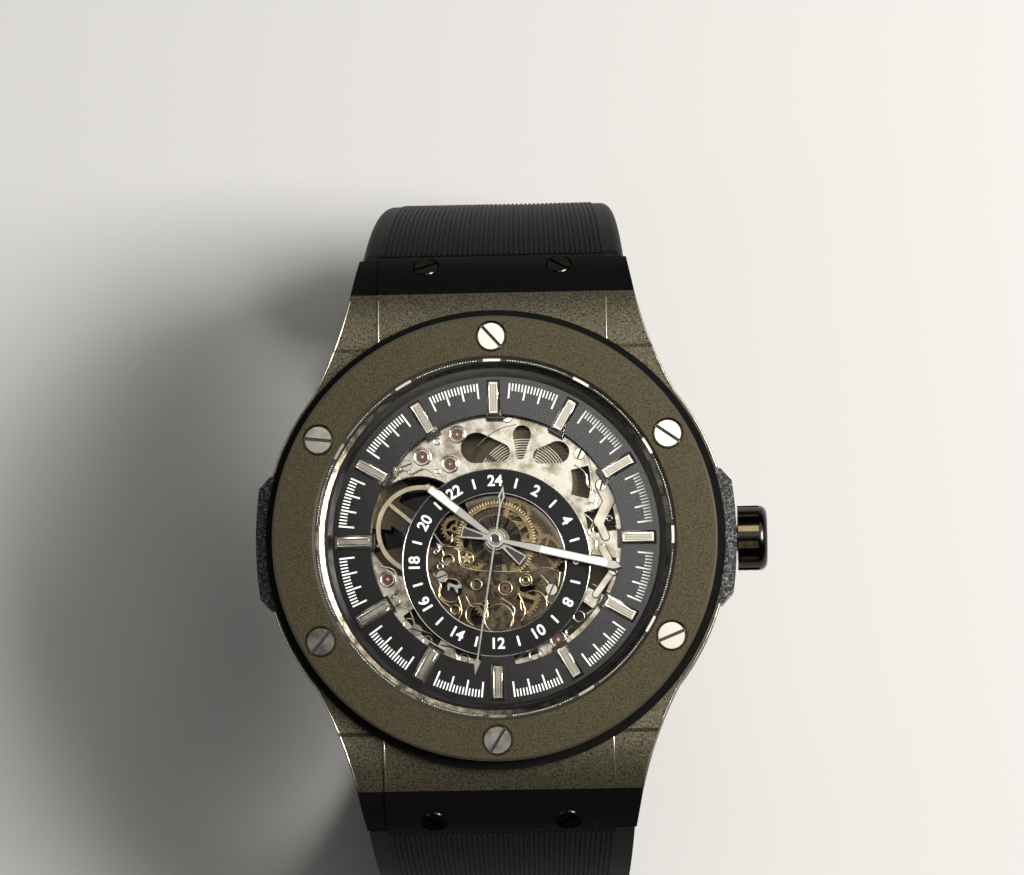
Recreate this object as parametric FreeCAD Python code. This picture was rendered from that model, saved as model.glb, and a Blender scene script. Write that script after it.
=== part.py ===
"""Skeleton automatic wristwatch on a buckled rubber strap, in millimetres.

Frame: origin at the middle of the case back's outer face, on the hands' axis. +Z runs through the dial
towards the crystal, +Y towards 12 o'clock and +X towards the crown at 3 o'clock. The strap's closed loop
hangs below the case.
"""

import FreeCAD, Part
import math
import os

V = FreeCAD.Vector
X, Y, Z = V(1, 0, 0), V(0, 1, 0), V(0, 0, 1)
FIT = 0.04  # gap between a fastener and its hole, and between parts that sit in one another

# ---- case ----
BODY_R = 21.7
LOWER_Z, MIDDLE_Z, UPPER_Z, CASE_TOP = 0.9, 3.6, 6.4, 10.1
BORE_R = 14.7
DIAL_SEAT_Z = 9.1
FLANGE_R = 16.6
LUG_HIP = (16.9, 13.6)  # where the lug leaves the round body
LUG_WAIST = (14.6, 18.7)
LUG_SHOULDER = (13.3, 23.2)
LUG_TIP = (12.45, 27.4)
COVER_Y = 23.2  # the case ends here and the black lug cover begins
SLOPE_Y, SLOPE_START, SLOPE_END, SLOPE_R = 18.07, 0.0, 50.0, 11.53
PANEL_X, PANEL_STEP = 10.75, 0.14  # the lug's middle panel stands proud of its sides
EAR_X, EAR_Y, EAR_TOP, EAR_ROOT = 22.4, 6.3, 9.45, 20.5

# ---- bezel and crystal ----
SEAT_R, SEAT_TOP = 21.35, 10.9
BEZEL_R, BEZEL_IN, BEZEL_TOP = 20.6, 16.65, 13.2
CRYSTAL_R, CRYSTAL_Z, CRYSTAL_TOP = 16.35, 11.5, 13.3
SCREW_CIRCLE = 18.67
SCREW_HEAD_R, SCREW_POCKET_R = 1.32, 1.47
BEZEL_SLOT_TURNS = [-48, -6, 50, 58, 22, -35]  # slot directions, from 12 o'clock anticlockwise

# ---- dial ----
DIAL_R, DIAL_HOLE, DIAL_THICK = 15.6, 11.7, 0.4
RING24_Y, RING24_R, RING24_IN = -2.1, 8.75, 6.45
MARKER_IN, MARKER_OUT, MARKER_W, MARKER_H = 11.55, 14.95, 1.26, 0.55
DIAL_TOP = DIAL_SEAT_Z + DIAL_THICK

# ---- hands ----
HOUR_TURN, MINUTE_TURN, SECONDS_TURN = 308.6, 103.3, 189.3  # degrees clockwise from 12 at rest
HOUR_LONG, MINUTE_LONG, SECONDS_LONG, SECONDS_TAIL = 8.4, 12.1, 12.75, 5.0
BLADE_START = 4.35  # where both broad blades begin
HOUR_HAND_Z, MINUTE_HAND_Z, SECONDS_HAND_Z = 9.80, 10.35, 10.90

# ---- movement ----
PLATE_R, PLATE_Z, PLATE_TOP = 12.9, 7.0, 8.0
RIM_IN, BRIDGE_Z, BRIDGE_TOP = 11.75, 3.8, 4.6
CENTRE_TEETH, CENTRE_MODULE = 80, 0.1
THIRD_PINION, THIRD_TEETH = 10, 75
FOURTH_PINION, FOURTH_TEETH, FOURTH_MODULE = 10, 84, 0.098
ESCAPE_PINION = 7
BARREL_TEETH, CENTRE_PINION, BARREL_MODULE = 80, 12, 0.13
CANNON_TEETH, MINUTE_TEETH, MINUTE_PINION, HOUR_TEETH, HOUR_MODULE = 20, 60, 20, 80, 0.091
WINDING_TEETH, CROWN_TEETH, RATCHET_TEETH, WINDING_MODULE = 20, 46, 76, 0.13
ARM_THIRD = (CENTRE_TEETH + THIRD_PINION) * CENTRE_MODULE / 2
THIRD_MODULE = 2 * ARM_THIRD / (THIRD_TEETH + FOURTH_PINION)
ARM_ESCAPE = (FOURTH_TEETH + ESCAPE_PINION) * FOURTH_MODULE / 2
ARM_BARREL = (BARREL_TEETH + CENTRE_PINION) * BARREL_MODULE / 2
ARM_MINUTE = (MINUTE_PINION + HOUR_TEETH) * HOUR_MODULE / 2
CANNON_MODULE = 2 * ARM_MINUTE / (CANNON_TEETH + MINUTE_TEETH)
CROWN_WHEEL_X = 8.4
STEM_Z = 4.98
ROTOR_Z, ROTOR_TOP, ROTOR_R = 1.6, 3.05, 12.4


def polar(radius, degrees):
    """A point at a radius, at an angle anticlockwise from +X."""
    return (radius * math.cos(math.radians(degrees)), radius * math.sin(math.radians(degrees)))


THIRD_AT = polar(ARM_THIRD, -35)
ESCAPE_AT = polar(ARM_ESCAPE, 215)
BARREL_AT = polar(ARM_BARREL, 64.4)
MINUTE_WHEEL_AT = polar(ARM_MINUTE, -80)
CROWN_WHEEL_AT = (CROWN_WHEEL_X, 0.0)
BALANCE_AT, BALANCE_R = (-7.2, 1.35), 4.2
PALLET_AT = (-5.95, -1.45)
LEVER_AT, YOKE_AT, LEVER_TOP = (9.9, 5.0), (10.9, -2.9), 8.4
JEWEL_AT = (-2.75, -1.65)

# ---- crown ----
CROWN_IN, CROWN_OUT, CROWN_R = 22.55, 25.3, 3.05
TUBE_R, TUBE_BORE = 1.25, 0.72
STEM_R, STEM_IN = 0.45, 7.9

# ---- strap ----
COVER_THICK, TONGUE_THICK, TONGUE_W = 2.5, 1.3, 10.0
STRAP_THICK, TAIL_THICK, LAYER_GAP = 3.0, 2.4, 0.25
STRAP_OUT_Y = 34.4  # the loop's widest point
BOTTOM_R = 24.0  # outer radius of the loop's lower corners
STRAP_HALF_TOP, STRAP_HALF_LOW, TAPER_END_Z = 12.45, 10.0, -19.6
TAIL_TURN = 72.0  # degrees that the tail climbs up the 12 o'clock side
BUCKLE_HALF_IN, BUCKLE_HALF_OUT = 10.45, 12.3
BUCKLE_FRONT_Y, BUCKLE_BACK_Y = -13.4, -10.6
FIXED_KEEPER_TURN, SLIDING_KEEPER_TURN, KEEPER_LONG, KEEPER_THICK = 24.0, 47.0, 5.0, 1.0

parts = {}


# ---------------------------------------------------------------- helpers
def cylinder(radius, low, high, at=(0, 0)):
    return Part.makeCylinder(radius, high - low, V(at[0], at[1], low))


def ring(outer, inner, low, high, at=(0, 0)):
    return cylinder(outer, low, high, at).cut(cylinder(inner, low - 1, high + 1, at))


def rod_x(radius, low, high, y=0.0, z=0.0):
    """A round bar along X."""
    return Part.makeCylinder(radius, high - low, V(low, y, z), X)


def box(x0, x1, y0, y1, z0, z1):
    return Part.makeBox(x1 - x0, y1 - y0, z1 - z0, V(x0, y0, z0))


def prism(points, low, high):
    """A straight-sided outline in XY, carried up from low to high."""
    wire = Part.makePolygon([V(x, y, low) for x, y in points + points[:1]])
    return Part.Face(wire).extrude(V(0, 0, high - low))


def side_prism(edges, half):
    """A closed outline in YZ, carried along X to both sides."""
    solid = Part.Face(Part.Wire(edges)).extrude(V(2 * half, 0, 0))
    solid.translate(V(-half, 0, 0))
    return solid


def yz(y, z):
    return V(0, y, z)


def line(a, b):
    return Part.LineSegment(a, b).toShape()


def arc(a, middle, b):
    return Part.Arc(a, middle, b).toShape()


def turned(shape, degrees, at=(0, 0)):
    copy = shape.copy()
    copy.rotate(V(at[0], at[1], 0), Z, degrees)
    return copy


def moved(shape, x=0.0, y=0.0, z=0.0):
    copy = shape.copy()
    copy.translate(V(x, y, z))
    return copy


def fused(shapes):
    first, rest = shapes[0], shapes[1:]
    return first.fuse(rest).removeSplitter() if rest else first


def bevelled(shape, z, size, keep=None):
    """Breaks the edges that lie flat at height z, apart from those that keep() excludes."""
    edges = [
        e
        for e in shape.Edges
        if abs(e.BoundBox.ZMin - z) < 1e-4 and abs(e.BoundBox.ZMax - z) < 1e-4 and (keep is None or keep(e))
    ]
    if not edges:
        return shape
    try:
        made = shape.makeChamfer(size, edges)
        return made if made.isValid() and made.Volume > 0 else shape
    except (Part.OCCError, ValueError):
        return shape


def tooth_outline(teeth, module, phase=0.0, depth=1.15):
    """A spur wheel's outline, one flat-topped tooth at a time. The first tooth points along phase."""
    pitch = 360.0 / teeth
    root, tip = teeth * module / 2 - depth * module, teeth * module / 2 + 0.9 * module
    points = []
    for i in range(teeth):
        middle = phase + i * pitch
        for radius, offset in ((root, -0.27), (tip, -0.11), (tip, 0.11), (root, 0.27)):
            points.append(polar(radius, middle + offset * pitch))
    return points


def spoked(blank, rim_in, hub_out, spokes, width, low, high, start=0.0):
    """Opens a wheel between its hub and rim, leaving the spokes."""
    window = ring(rim_in, hub_out, low - 1, high + 1)
    for i in range(spokes):
        window = window.cut(turned(box(0, rim_in + 1, -width / 2, width / 2, low - 2, high + 2),
                                   start + i * 360 / spokes))
    return blank.cut(window)


def gear(teeth, module, low, high, at, phase=0.0, bore=0.0, spokes=0, rim=0.45, hub=0.9, arm=0.35):
    blank = prism(tooth_outline(teeth, module, phase), low, high)
    if bore:
        blank = blank.cut(cylinder(bore, low - 1, high + 1))
    if spokes:
        rim_in = teeth * module / 2 - 1.15 * module - rim
        blank = spoked(blank, rim_in, hub, spokes, arm, low, high, phase)
    return moved(blank, at[0], at[1])


def mesh_phase(at, teeth, phase, other_at, other_teeth):
    """The phase that puts a gap of the second wheel on the first wheel's tooth, between their centres."""
    bearing = math.degrees(math.atan2(other_at[1] - at[1], other_at[0] - at[0]))
    return bearing + 180 + (bearing - phase) * teeth / other_teeth - 180.0 / other_teeth


def slotted_screw(head_r, head_h, shank_r, length, slot_w, slot_d, slot_turn=0.0):
    """A screw whose head's top is at z 0, with its shank below."""
    head = cylinder(head_r, -head_h, 0)
    head = bevelled(head, 0, 0.08 * head_r)
    slot = turned(box(-head_r - 1, head_r + 1, -slot_w / 2, slot_w / 2, -slot_d, 1), slot_turn)
    return head.cut(slot).fuse(cylinder(shank_r, -head_h - length, -head_h)).removeSplitter()


def front_screw(at, seat_z, shank, slot_turn):
    """A small screw whose head rests just above seat_z."""
    return moved(slotted_screw(0.55, 0.2, 0.3, shank, 0.15, 0.1, slot_turn), at[0], at[1], seat_z + 0.21)


def spiral_strip(inner, outer, turns, thickness, low, high, start=0.0):
    """A flat spiral spring."""
    count = int(turns * 16)

    def side(offset):
        points = []
        for i in range(count + 1):
            share = i / count
            x, y = polar(inner + (outer - inner) * share + offset, start + 360 * turns * share)
            points.append(V(x, y, low))
        curve = Part.BSplineCurve()
        curve.interpolate(points)
        return curve.toShape()

    one, two = side(-thickness / 2), side(thickness / 2)
    ends = [line(one.Vertexes[i].Point, two.Vertexes[i].Point) for i in (0, -1)]
    return Part.Face(Part.Wire([one, ends[1], two, ends[0]])).extrude(V(0, 0, high - low))


# ---------------------------------------------------------------- lug curve
SLOPE_MID = (
    SLOPE_Y - SLOPE_R * math.sin(math.radians(SLOPE_START)),
    CASE_TOP - SLOPE_R * math.cos(math.radians(SLOPE_START)),
)


def on_slope(degrees, inset=0.0):
    """(y, z) on the lug's curved top where it slopes down by that many degrees, or inset below it."""
    a, r = math.radians(degrees), SLOPE_R - inset
    return SLOPE_MID[0] + r * math.sin(a), SLOPE_MID[1] + r * math.cos(a)


COVER_START = math.degrees(math.asin((COVER_Y - SLOPE_MID[0]) / SLOPE_R))
STRAP_Y, STRAP_Z = on_slope(SLOPE_END)  # outer corner where the strap begins
TOP_ARC_R = (STRAP_OUT_Y - STRAP_Y) / (1 - math.sin(math.radians(SLOPE_END)))
WIDE_Z = STRAP_Z - TOP_ARC_R * math.cos(math.radians(SLOPE_END))
BOTTOM_MID = (STRAP_OUT_Y - BOTTOM_R, WIDE_Z)
INNER_LAYER_Z = WIDE_Z - BOTTOM_R  # outer face of the strap's inner layer along the bottom
REST_Z = INNER_LAYER_Z - LAYER_GAP - TAIL_THICK
PIN_Z = INNER_LAYER_Z + STRAP_THICK / 2


def slope_cut(step):
    """What lies above the lug's curved top on the 12 o'clock side, lowered by step."""
    start, end = on_slope(SLOPE_START, step), on_slope(SLOPE_END, step)
    middle = on_slope((SLOPE_START + SLOPE_END) / 2, step)
    edges = [
        line(yz(start[0] - 3, CASE_TOP - step + 1.2), yz(*start)),
        arc(yz(*start), yz(*middle), yz(*end)),
        line(yz(*end), yz(end[0] + 8, end[1] - 8)),
        line(yz(end[0] + 8, end[1] - 8), yz(end[0] + 8, 20)),
        line(yz(end[0] + 8, 20), yz(start[0] - 3, 20)),
        line(yz(start[0] - 3, 20), yz(start[0] - 3, CASE_TOP - step + 1.2)),
    ]
    return side_prism(edges, 40)


def lug_side_cuts():
    """The shallow step on the lug's top at both sides of its middle panel."""
    above = slope_cut(PANEL_STEP)
    return [above.common(box(low, high, 5, 60, 0, 20)) for low, high in ((PANEL_X, 40), (-40, -PANEL_X))]


def both_ends(shape):
    """The 12 o'clock shape and its twin at 6 o'clock."""
    return [shape, turned(shape, 180)]


def cut_both_ends(shape, tool):
    for one in both_ends(tool):
        shape = shape.cut(one)
    return shape


def lug_outline(low, high, inset=0.0):
    """The lug in plan, from inside the round body to beyond its tip."""
    hip, waist, shoulder, tip = [(x - inset, y) for x, y in (LUG_HIP, LUG_WAIST, LUG_SHOULDER, LUG_TIP)]
    right = [V(hip[0], hip[1], low), V(waist[0], waist[1], low), V(shoulder[0], shoulder[1], low),
             V(tip[0], tip[1], low)]
    left = [V(-p.x, p.y, low) for p in right]
    edges = [
        arc(right[0], right[1], right[2]),
        line(right[2], right[3]),
        line(right[3], left[3]),
        line(left[3], left[2]),
        arc(left[2], left[1], left[0]),
        line(left[0], V(left[0].x, 2, low)),
        line(V(left[0].x, 2, low), V(right[0].x, 2, low)),
        line(V(right[0].x, 2, low), right[0]),
    ]
    return Part.Face(Part.Wire(edges)).extrude(V(0, 0, high - low))


def case_slab(low, high, inset=0.0):
    """The case's plan, round with two lugs, between two heights."""
    slab = cylinder(BODY_R - inset, low, high)
    return fused([slab] + both_ends(lug_outline(low, high, inset)))


# ---------------------------------------------------------------- case
def tongue_outline(grow):
    """The strap's tongue under the lug cover, in YZ."""
    top, low = COVER_THICK - grow, COVER_THICK + TONGUE_THICK + grow
    first, last = COVER_START + 4 - 8 * grow, SLOPE_END + 0.001 + 8 * grow
    middle = (first + last) / 2
    corners = [yz(*on_slope(first, top)), yz(*on_slope(last, top)), yz(*on_slope(last, low)),
               yz(*on_slope(first, low))]
    return [
        arc(corners[0], yz(*on_slope(middle, top)), corners[1]),
        line(corners[1], corners[2]),
        arc(corners[2], yz(*on_slope(middle, low)), corners[3]),
        line(corners[3], corners[0]),
    ]


def screw_hole_at_slope(degrees, radius, depth, x):
    y, z = on_slope(degrees)
    a = math.radians(degrees)
    way = V(0, math.sin(a), math.cos(a))
    return Part.makeCylinder(radius, depth + 2, V(x, y, z) + way * 2, way * -1)


def bezel_screw_holes(radius, low, high):
    return [cylinder(radius, low, high, polar(SCREW_CIRCLE, 90 + 60 * i)) for i in range(6)]


def make_case():
    ear_gap = [box(EAR_ROOT - 0.02, 30, -EAR_Y - 0.08, EAR_Y + 0.08, UPPER_Z - 1, CASE_TOP + 1)]
    ear_gap.append(turned(ear_gap[0], 180))
    beyond = box(-40, 40, COVER_Y, 60, -1, 20)
    tongue_room = side_prism(tongue_outline(FIT), TONGUE_W + FIT)

    upper = case_slab(UPPER_Z, CASE_TOP)
    for tool in [slope_cut(0), beyond, tongue_room] + lug_side_cuts():
        upper = cut_both_ends(upper, tool)
    upper = upper.cut(ear_gap).cut(cylinder(BORE_R, 0, 20)).cut(cylinder(FLANGE_R + FIT, DIAL_SEAT_Z, 20))
    upper = upper.cut(bezel_screw_holes(0.55 + FIT, 7.0, 20))

    def on_outside(edge):
        around = edge.BoundBox
        return around.DiagonalLength > 8 and abs(around.XMax) > FLANGE_R + 1 and around.YLength > 3

    parts["upper_case"] = bevelled(upper, CASE_TOP, 0.25, on_outside)

    inset = 0.3
    middle = case_slab(MIDDLE_Z, UPPER_Z, inset)
    for tool in (slope_cut(0.3), beyond, tongue_room):
        middle = cut_both_ends(middle, tool)
    middle = middle.cut(cylinder(BORE_R, 0, 20))
    ear = cylinder(EAR_X + 14, MIDDLE_Z, EAR_TOP, (-14, 0)).common(box(EAR_ROOT, 30, -EAR_Y, EAR_Y, 0, 20))
    ear_taper = prism([(EAR_ROOT - 1, -EAR_Y), (EAR_ROOT + 0.5, -EAR_Y), (EAR_X - 0.5, -EAR_Y + 1.0),
                       (EAR_X + 1, -4),
                       (EAR_X + 1, 4), (EAR_X - 0.5, EAR_Y - 1.0), (EAR_ROOT + 0.5, EAR_Y), (EAR_ROOT - 1,
                                                                                             EAR_Y)], 0, 20)
    ear = bevelled(ear.common(ear_taper), EAR_TOP, 0.35)
    middle = fused([middle, ear, turned(ear, 180)])
    parts["middle_case"] = middle.cut(rod_x(TUBE_R, 10, 30, 0, STEM_Z))

    lower = case_slab(LOWER_Z, MIDDLE_Z)
    under = [yz(18.6, 0), yz(18.6, LOWER_Z), yz(COVER_Y + 1, 2.6), yz(COVER_Y + 1, 0)]
    under_cut = side_prism([line(under[i], under[(i + 1) % 4]) for i in range(4)], 40)
    for tool in (under_cut, beyond, tongue_room):
        lower = cut_both_ends(lower, tool)
    lower = lower.cut(cylinder(BORE_R, 0, 20))
    parts["lower_case"] = bevelled(lower, LOWER_Z, 0.35, lambda e: e.BoundBox.DiagonalLength > 20 and
                                   e.BoundBox.XMax > BORE_R + 1)


def make_lug_covers():
    top = [yz(*on_slope(COVER_START)), yz(*on_slope((COVER_START + SLOPE_END) / 2)),
           yz(*on_slope(SLOPE_END))]
    low = [yz(*on_slope(SLOPE_END, COVER_THICK)), yz(COVER_Y, on_slope(COVER_START + 6, COVER_THICK)[1])]
    block = side_prism([arc(*top), line(top[2], low[0]), line(low[0], low[1]), line(low[1], top[0])], 20)
    block = block.common(lug_outline(0, 12)).cut(side_prism(tongue_outline(FIT), TONGUE_W + 3))
    block = block.cut(lug_side_cuts())
    slope, y_z = 44.0, on_slope(44.0)
    screws = []
    for x, turn in ((-6.25, 25.0), (6.25, -40.0)):
        block = block.cut(screw_hole_at_slope(slope, 1.22, 0.55, x))
        block = block.cut(screw_hole_at_slope(slope, 0.5 + FIT, 4.2, x))
        screw = slotted_screw(1.14, 0.5, 0.5, 2.9, 0.26, 0.25, turn)
        screw.rotate(V(0, 0, 0), X, -slope)
        screw.translate(V(x, y_z[0], y_z[1]))
        screws.append(screw)
    parts["upper_lug_cover"], parts["lower_lug_cover"] = both_ends(block)
    parts["lug_screws"] = Part.makeCompound([s for one in screws for s in both_ends(one)])


# ---------------------------------------------------------------- bezel, crystal, back
def make_bezel():
    seat = ring(SEAT_R, FLANGE_R + 0.1, CASE_TOP, SEAT_TOP).cut(bezel_screw_holes(0.55 + FIT, 0, 20))
    parts["bezel_seat_ring"] = seat
    bezel = ring(BEZEL_R, BEZEL_IN, SEAT_TOP, BEZEL_TOP)
    bezel = bevelled(bezel, BEZEL_TOP, 0.22)
    bezel = bezel.cut(bezel_screw_holes(SCREW_POCKET_R, BEZEL_TOP - 1.0,
                                        20)).cut(bezel_screw_holes(0.55 + FIT, 0, 20))
    parts["bezel"] = bezel
    screws = []
    for i, turn in enumerate(BEZEL_SLOT_TURNS):
        x, y = polar(SCREW_CIRCLE, 90 + 60 * i)
        screws.append(moved(slotted_screw(SCREW_HEAD_R, 0.95, 0.55, 4.6, 0.3, 0.3, turn), x, y,
                            BEZEL_TOP - 0.02))
    parts["bezel_screws"] = Part.makeCompound(screws)

    crystal = bevelled(cylinder(CRYSTAL_R, CRYSTAL_Z, CRYSTAL_TOP), CRYSTAL_TOP, 0.3)
    parts["crystal"] = crystal
    parts["crystal_gasket"] = ring(BEZEL_IN - 0.01, CRYSTAL_R + 0.01, CRYSTAL_Z + 0.1, CRYSTAL_TOP - 0.5)

    foot, lip = DIAL_TOP + 0.01, CRYSTAL_Z - 0.32
    section = [V(15.25, 0, foot), V(FLANGE_R, 0, foot), V(FLANGE_R, 0, lip), V(16.15, 0, lip),
               V(15.62, 0, lip - 0.5)]
    flange = Part.Face(Part.makePolygon(section + section[:1])).revolve(V(0, 0, 0), Z, 360)
    parts["dial_flange"] = flange


def make_back():
    glass_r = 13.9
    parts["caseback_glass"] = cylinder(glass_r, 0.0, 1.2)
    parts["caseback_gasket"] = ring(glass_r + 0.2, glass_r + 0.01, 0.25, 1.0)
    back = ring(18.9, glass_r + 0.21, 0.15, LOWER_Z).fuse(ring(BORE_R - FIT, glass_r + 0.21, 0.5,
                                                               1.5)).removeSplitter()
    back = bevelled(back, 0.15, 0.15)
    screws = []
    for i in range(6):
        at = polar(16.9, 60 * i)
        back = back.cut(cylinder(0.95, -1, 0.5, at)).cut(cylinder(0.5 + FIT, -1, 3, at))
        parts["lower_case"] = parts["lower_case"].cut(cylinder(0.5 + FIT, 0, 2.6, at))
        screw = slotted_screw(0.85, 0.33, 0.5, 1.8, 0.25, 0.18, 35 * i)
        screw.rotate(V(0, 0, 0), X, 180)
        screws.append(moved(screw, at[0], at[1], 0.17))
    parts["caseback_ring"] = back
    parts["caseback_screws"] = Part.makeCompound(screws)


# ---------------------------------------------------------------- dial and hands
def make_dial():
    outer = ring(DIAL_R, DIAL_HOLE, DIAL_SEAT_Z, DIAL_TOP)
    inner = ring(RING24_R, RING24_IN, DIAL_SEAT_Z, DIAL_TOP, (0, RING24_Y))
    link = box(-1.6, 1.6, -12.2, -10.2, DIAL_SEAT_Z, DIAL_TOP)
    foot_blocks = [turned(box(11.3, 12.2, -0.8, 0.8, DIAL_SEAT_Z, DIAL_TOP),
                          90 + 30 * i) for i in range(12)]
    parts["dial"] = bevelled(fused([outer, inner, link] + foot_blocks), DIAL_TOP, 0.06)
    bars = []
    for i in range(12):
        bar = box(MARKER_IN, MARKER_OUT, -MARKER_W / 2, MARKER_W / 2, DIAL_TOP + 0.01,
                  DIAL_TOP + 0.01 + MARKER_H)
        bars.append(turned(bevelled(bar, DIAL_TOP + 0.01 + MARKER_H, 0.24), 90 - 30 * i))
    parts["hour_markers"] = Part.makeCompound(bars)


def clock_turn(shape, degrees):
    """Turns a hand that was drawn pointing along +Y, clockwise as read from the front."""
    return turned(shape, -degrees)


def sword_hand(length, tail, low, thick, hub, bore, half):
    """A hand with a slim neck, a broad pointed blade and a flared counterweight."""
    neck, shoulder = 0.2 * length, BLADE_START
    blade = [(-0.22, 0), (-0.3, neck), (-half, shoulder), (-half, length - 0.75), (0, length),
             (half, length - 0.75),
             (half, shoulder), (0.3, neck), (0.22, 0)]
    flare = [(-0.2, 0), (-0.62, -tail), (0.62, -tail), (0.2, 0)]
    high = low + thick
    hand = fused([prism(blade, low, high), prism(flare, low, high), cylinder(hub, low, high)])
    return bevelled(hand, high, 0.07).cut(cylinder(bore, low - 1, high + 1))


def make_hands():
    hour = sword_hand(HOUR_LONG, 3.3, HOUR_HAND_Z, 0.22, 1.05, 0.66, 0.42)
    minute = sword_hand(MINUTE_LONG, 3.3, MINUTE_HAND_Z, 0.22, 0.85, 0.36, 0.42)
    high = SECONDS_HAND_Z + 0.12
    leaf = [(0, 0.3), (-0.1, SECONDS_TAIL - 1.7), (-0.3, SECONDS_TAIL - 1.0), (0, SECONDS_TAIL),
            (0.3, SECONDS_TAIL - 1.0), (0.1, SECONDS_TAIL - 1.7)]
    point = [(0, -0.3), (-0.07, 1.6 - SECONDS_LONG), (-0.27, 1.05 - SECONDS_LONG), (0, -SECONDS_LONG),
             (0.27, 1.05 - SECONDS_LONG), (0.07, 1.6 - SECONDS_LONG)]
    shaft = box(-0.08, 0.08, 1.5 - SECONDS_LONG, SECONDS_TAIL - 1.6, SECONDS_HAND_Z, high)
    seconds = fused([prism(leaf, SECONDS_HAND_Z, high), prism(point, SECONDS_HAND_Z, high), shaft,
                     cylinder(0.52, SECONDS_HAND_Z, high + 0.08)])
    parts["hour_hand"] = clock_turn(hour, HOUR_TURN)
    parts["minute_hand"] = clock_turn(minute, MINUTE_TURN)
    parts["seconds_hand"] = clock_turn(seconds.cut(cylinder(0.12, 0, 10.95)), SECONDS_TURN + 180)


# ---------------------------------------------------------------- wheel train
def make_train():
    centre_phase = 0.0
    centre = gear(CENTRE_TEETH, CENTRE_MODULE, 5.66, 5.84, (0, 0), centre_phase, 0, 5, 0.4, 0.95, 0.4)
    centre_pinion = gear(CENTRE_PINION, BARREL_MODULE, 5.84, 6.88, (0, 0), 15.0)
    cannon = gear(CANNON_TEETH, CANNON_MODULE, 8.08, 8.34, (0, 0), 0.0)
    pipe = [cylinder(0.55, 6.8, 8.1), cylinder(0.34, 8.3, 10.57), cylinder(0.55, 5.56, 5.7)]
    centre = fused([centre, centre_pinion, cannon] + pipe)
    parts["centre_wheel"] = centre.cut(cylinder(0.17, 5, 12))

    third_phase = mesh_phase((0, 0), CENTRE_TEETH, centre_phase, THIRD_AT, THIRD_PINION)
    third_pinion = gear(THIRD_PINION, CENTRE_MODULE, 5.5, 6.0, THIRD_AT, third_phase)
    third = gear(THIRD_TEETH, THIRD_MODULE, 5.12, 5.3, THIRD_AT, third_phase, 0, 4, 0.4, 0.8, 0.4)
    staff = [cylinder(0.3, 5.0, 6.3, THIRD_AT), cylinder(0.12, BRIDGE_Z + 0.1, PLATE_TOP - 0.1, THIRD_AT)]
    parts["third_wheel"] = fused([third, third_pinion] + staff)

    fourth_phase = mesh_phase(THIRD_AT, THIRD_TEETH, third_phase, (0, 0), FOURTH_PINION)
    fourth = gear(FOURTH_TEETH, FOURTH_MODULE, 4.72, 4.9, (0, 0), fourth_phase, 0, 4, 0.35, 0.7, 0.35)
    fourth_pinion = gear(FOURTH_PINION, THIRD_MODULE, 4.9, 5.46, (0, 0), fourth_phase)
    arbor = [cylinder(0.12, BRIDGE_Z + 0.1, 10.94)]
    parts["fourth_wheel"] = fused([fourth, fourth_pinion] + arbor)

    escape_phase = mesh_phase((0, 0), FOURTH_TEETH, fourth_phase, ESCAPE_AT, ESCAPE_PINION)
    escape_pinion = gear(ESCAPE_PINION, FOURTH_MODULE, 4.7, 5.4, ESCAPE_AT, escape_phase)
    points = []
    for i in range(15):
        points += [polar(1.72, 24 * i - 9), polar(2.18, 24 * i + 1), polar(2.12, 24 * i + 4),
                   polar(1.72, 24 * i + 3)]
    wheel = spoked(prism(points, 6.3, 6.45), 1.45, 0.5, 4, 0.22, 6.3, 6.45)
    staff = [cylinder(0.12, BRIDGE_Z + 0.1, PLATE_TOP - 0.1, ESCAPE_AT), cylinder(0.2, 5.3, 6.4, ESCAPE_AT)]
    parts["escape_wheel"] = fused([moved(wheel, *ESCAPE_AT), escape_pinion] + staff)


def make_barrel():
    phase = mesh_phase((0, 0), CENTRE_PINION, 15.0, BARREL_AT, BARREL_TEETH)
    toothed = gear(BARREL_TEETH, BARREL_MODULE, 6.45, 6.86, BARREL_AT, phase)
    drum = fused([toothed, cylinder(4.85, 6.0, 6.46, BARREL_AT)])
    drum = drum.cut(cylinder(4.5, 6.18, 6.72, BARREL_AT)).cut(cylinder(0.75, 4, 8, BARREL_AT))
    parts["barrel"] = drum.cut([sector_window(1.5, 4.3, a, a + 66, 6.6, 8, BARREL_AT) for a in range(0, 360,
                                                                                                     72)])
    parts["mainspring"] = moved(spiral_strip(1.35, 4.38, 13, 0.11, 6.22, 6.68, 20), *BARREL_AT)
    crown_phase = 0.0
    phase = mesh_phase(CROWN_WHEEL_AT, CROWN_TEETH, crown_phase, BARREL_AT, RATCHET_TEETH)
    ratchet = gear(RATCHET_TEETH, WINDING_MODULE, 3.3, 3.65, BARREL_AT, phase)
    arbor = [cylinder(0.7, 3.6, 6.92, BARREL_AT), cylinder(1.1, 6.22, 6.68, BARREL_AT),
             cylinder(0.38, 6.8, PLATE_TOP - 0.1, BARREL_AT)]
    ratchet = fused([ratchet] + arbor)
    slot = moved(turned(box(-0.8, 0.8, -0.12, 0.12, 3, 3.42), 30), *BARREL_AT)
    parts["ratchet_wheel"] = ratchet.cut(ring(0.95, 0.75, 3, 3.4, BARREL_AT)).cut(slot)
    crown_wheel = gear(CROWN_TEETH, WINDING_MODULE, 3.3, 3.65, CROWN_WHEEL_AT, crown_phase, 0.9)
    parts["crown_wheel"] = crown_wheel
    parts["click"] = make_click()


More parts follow.
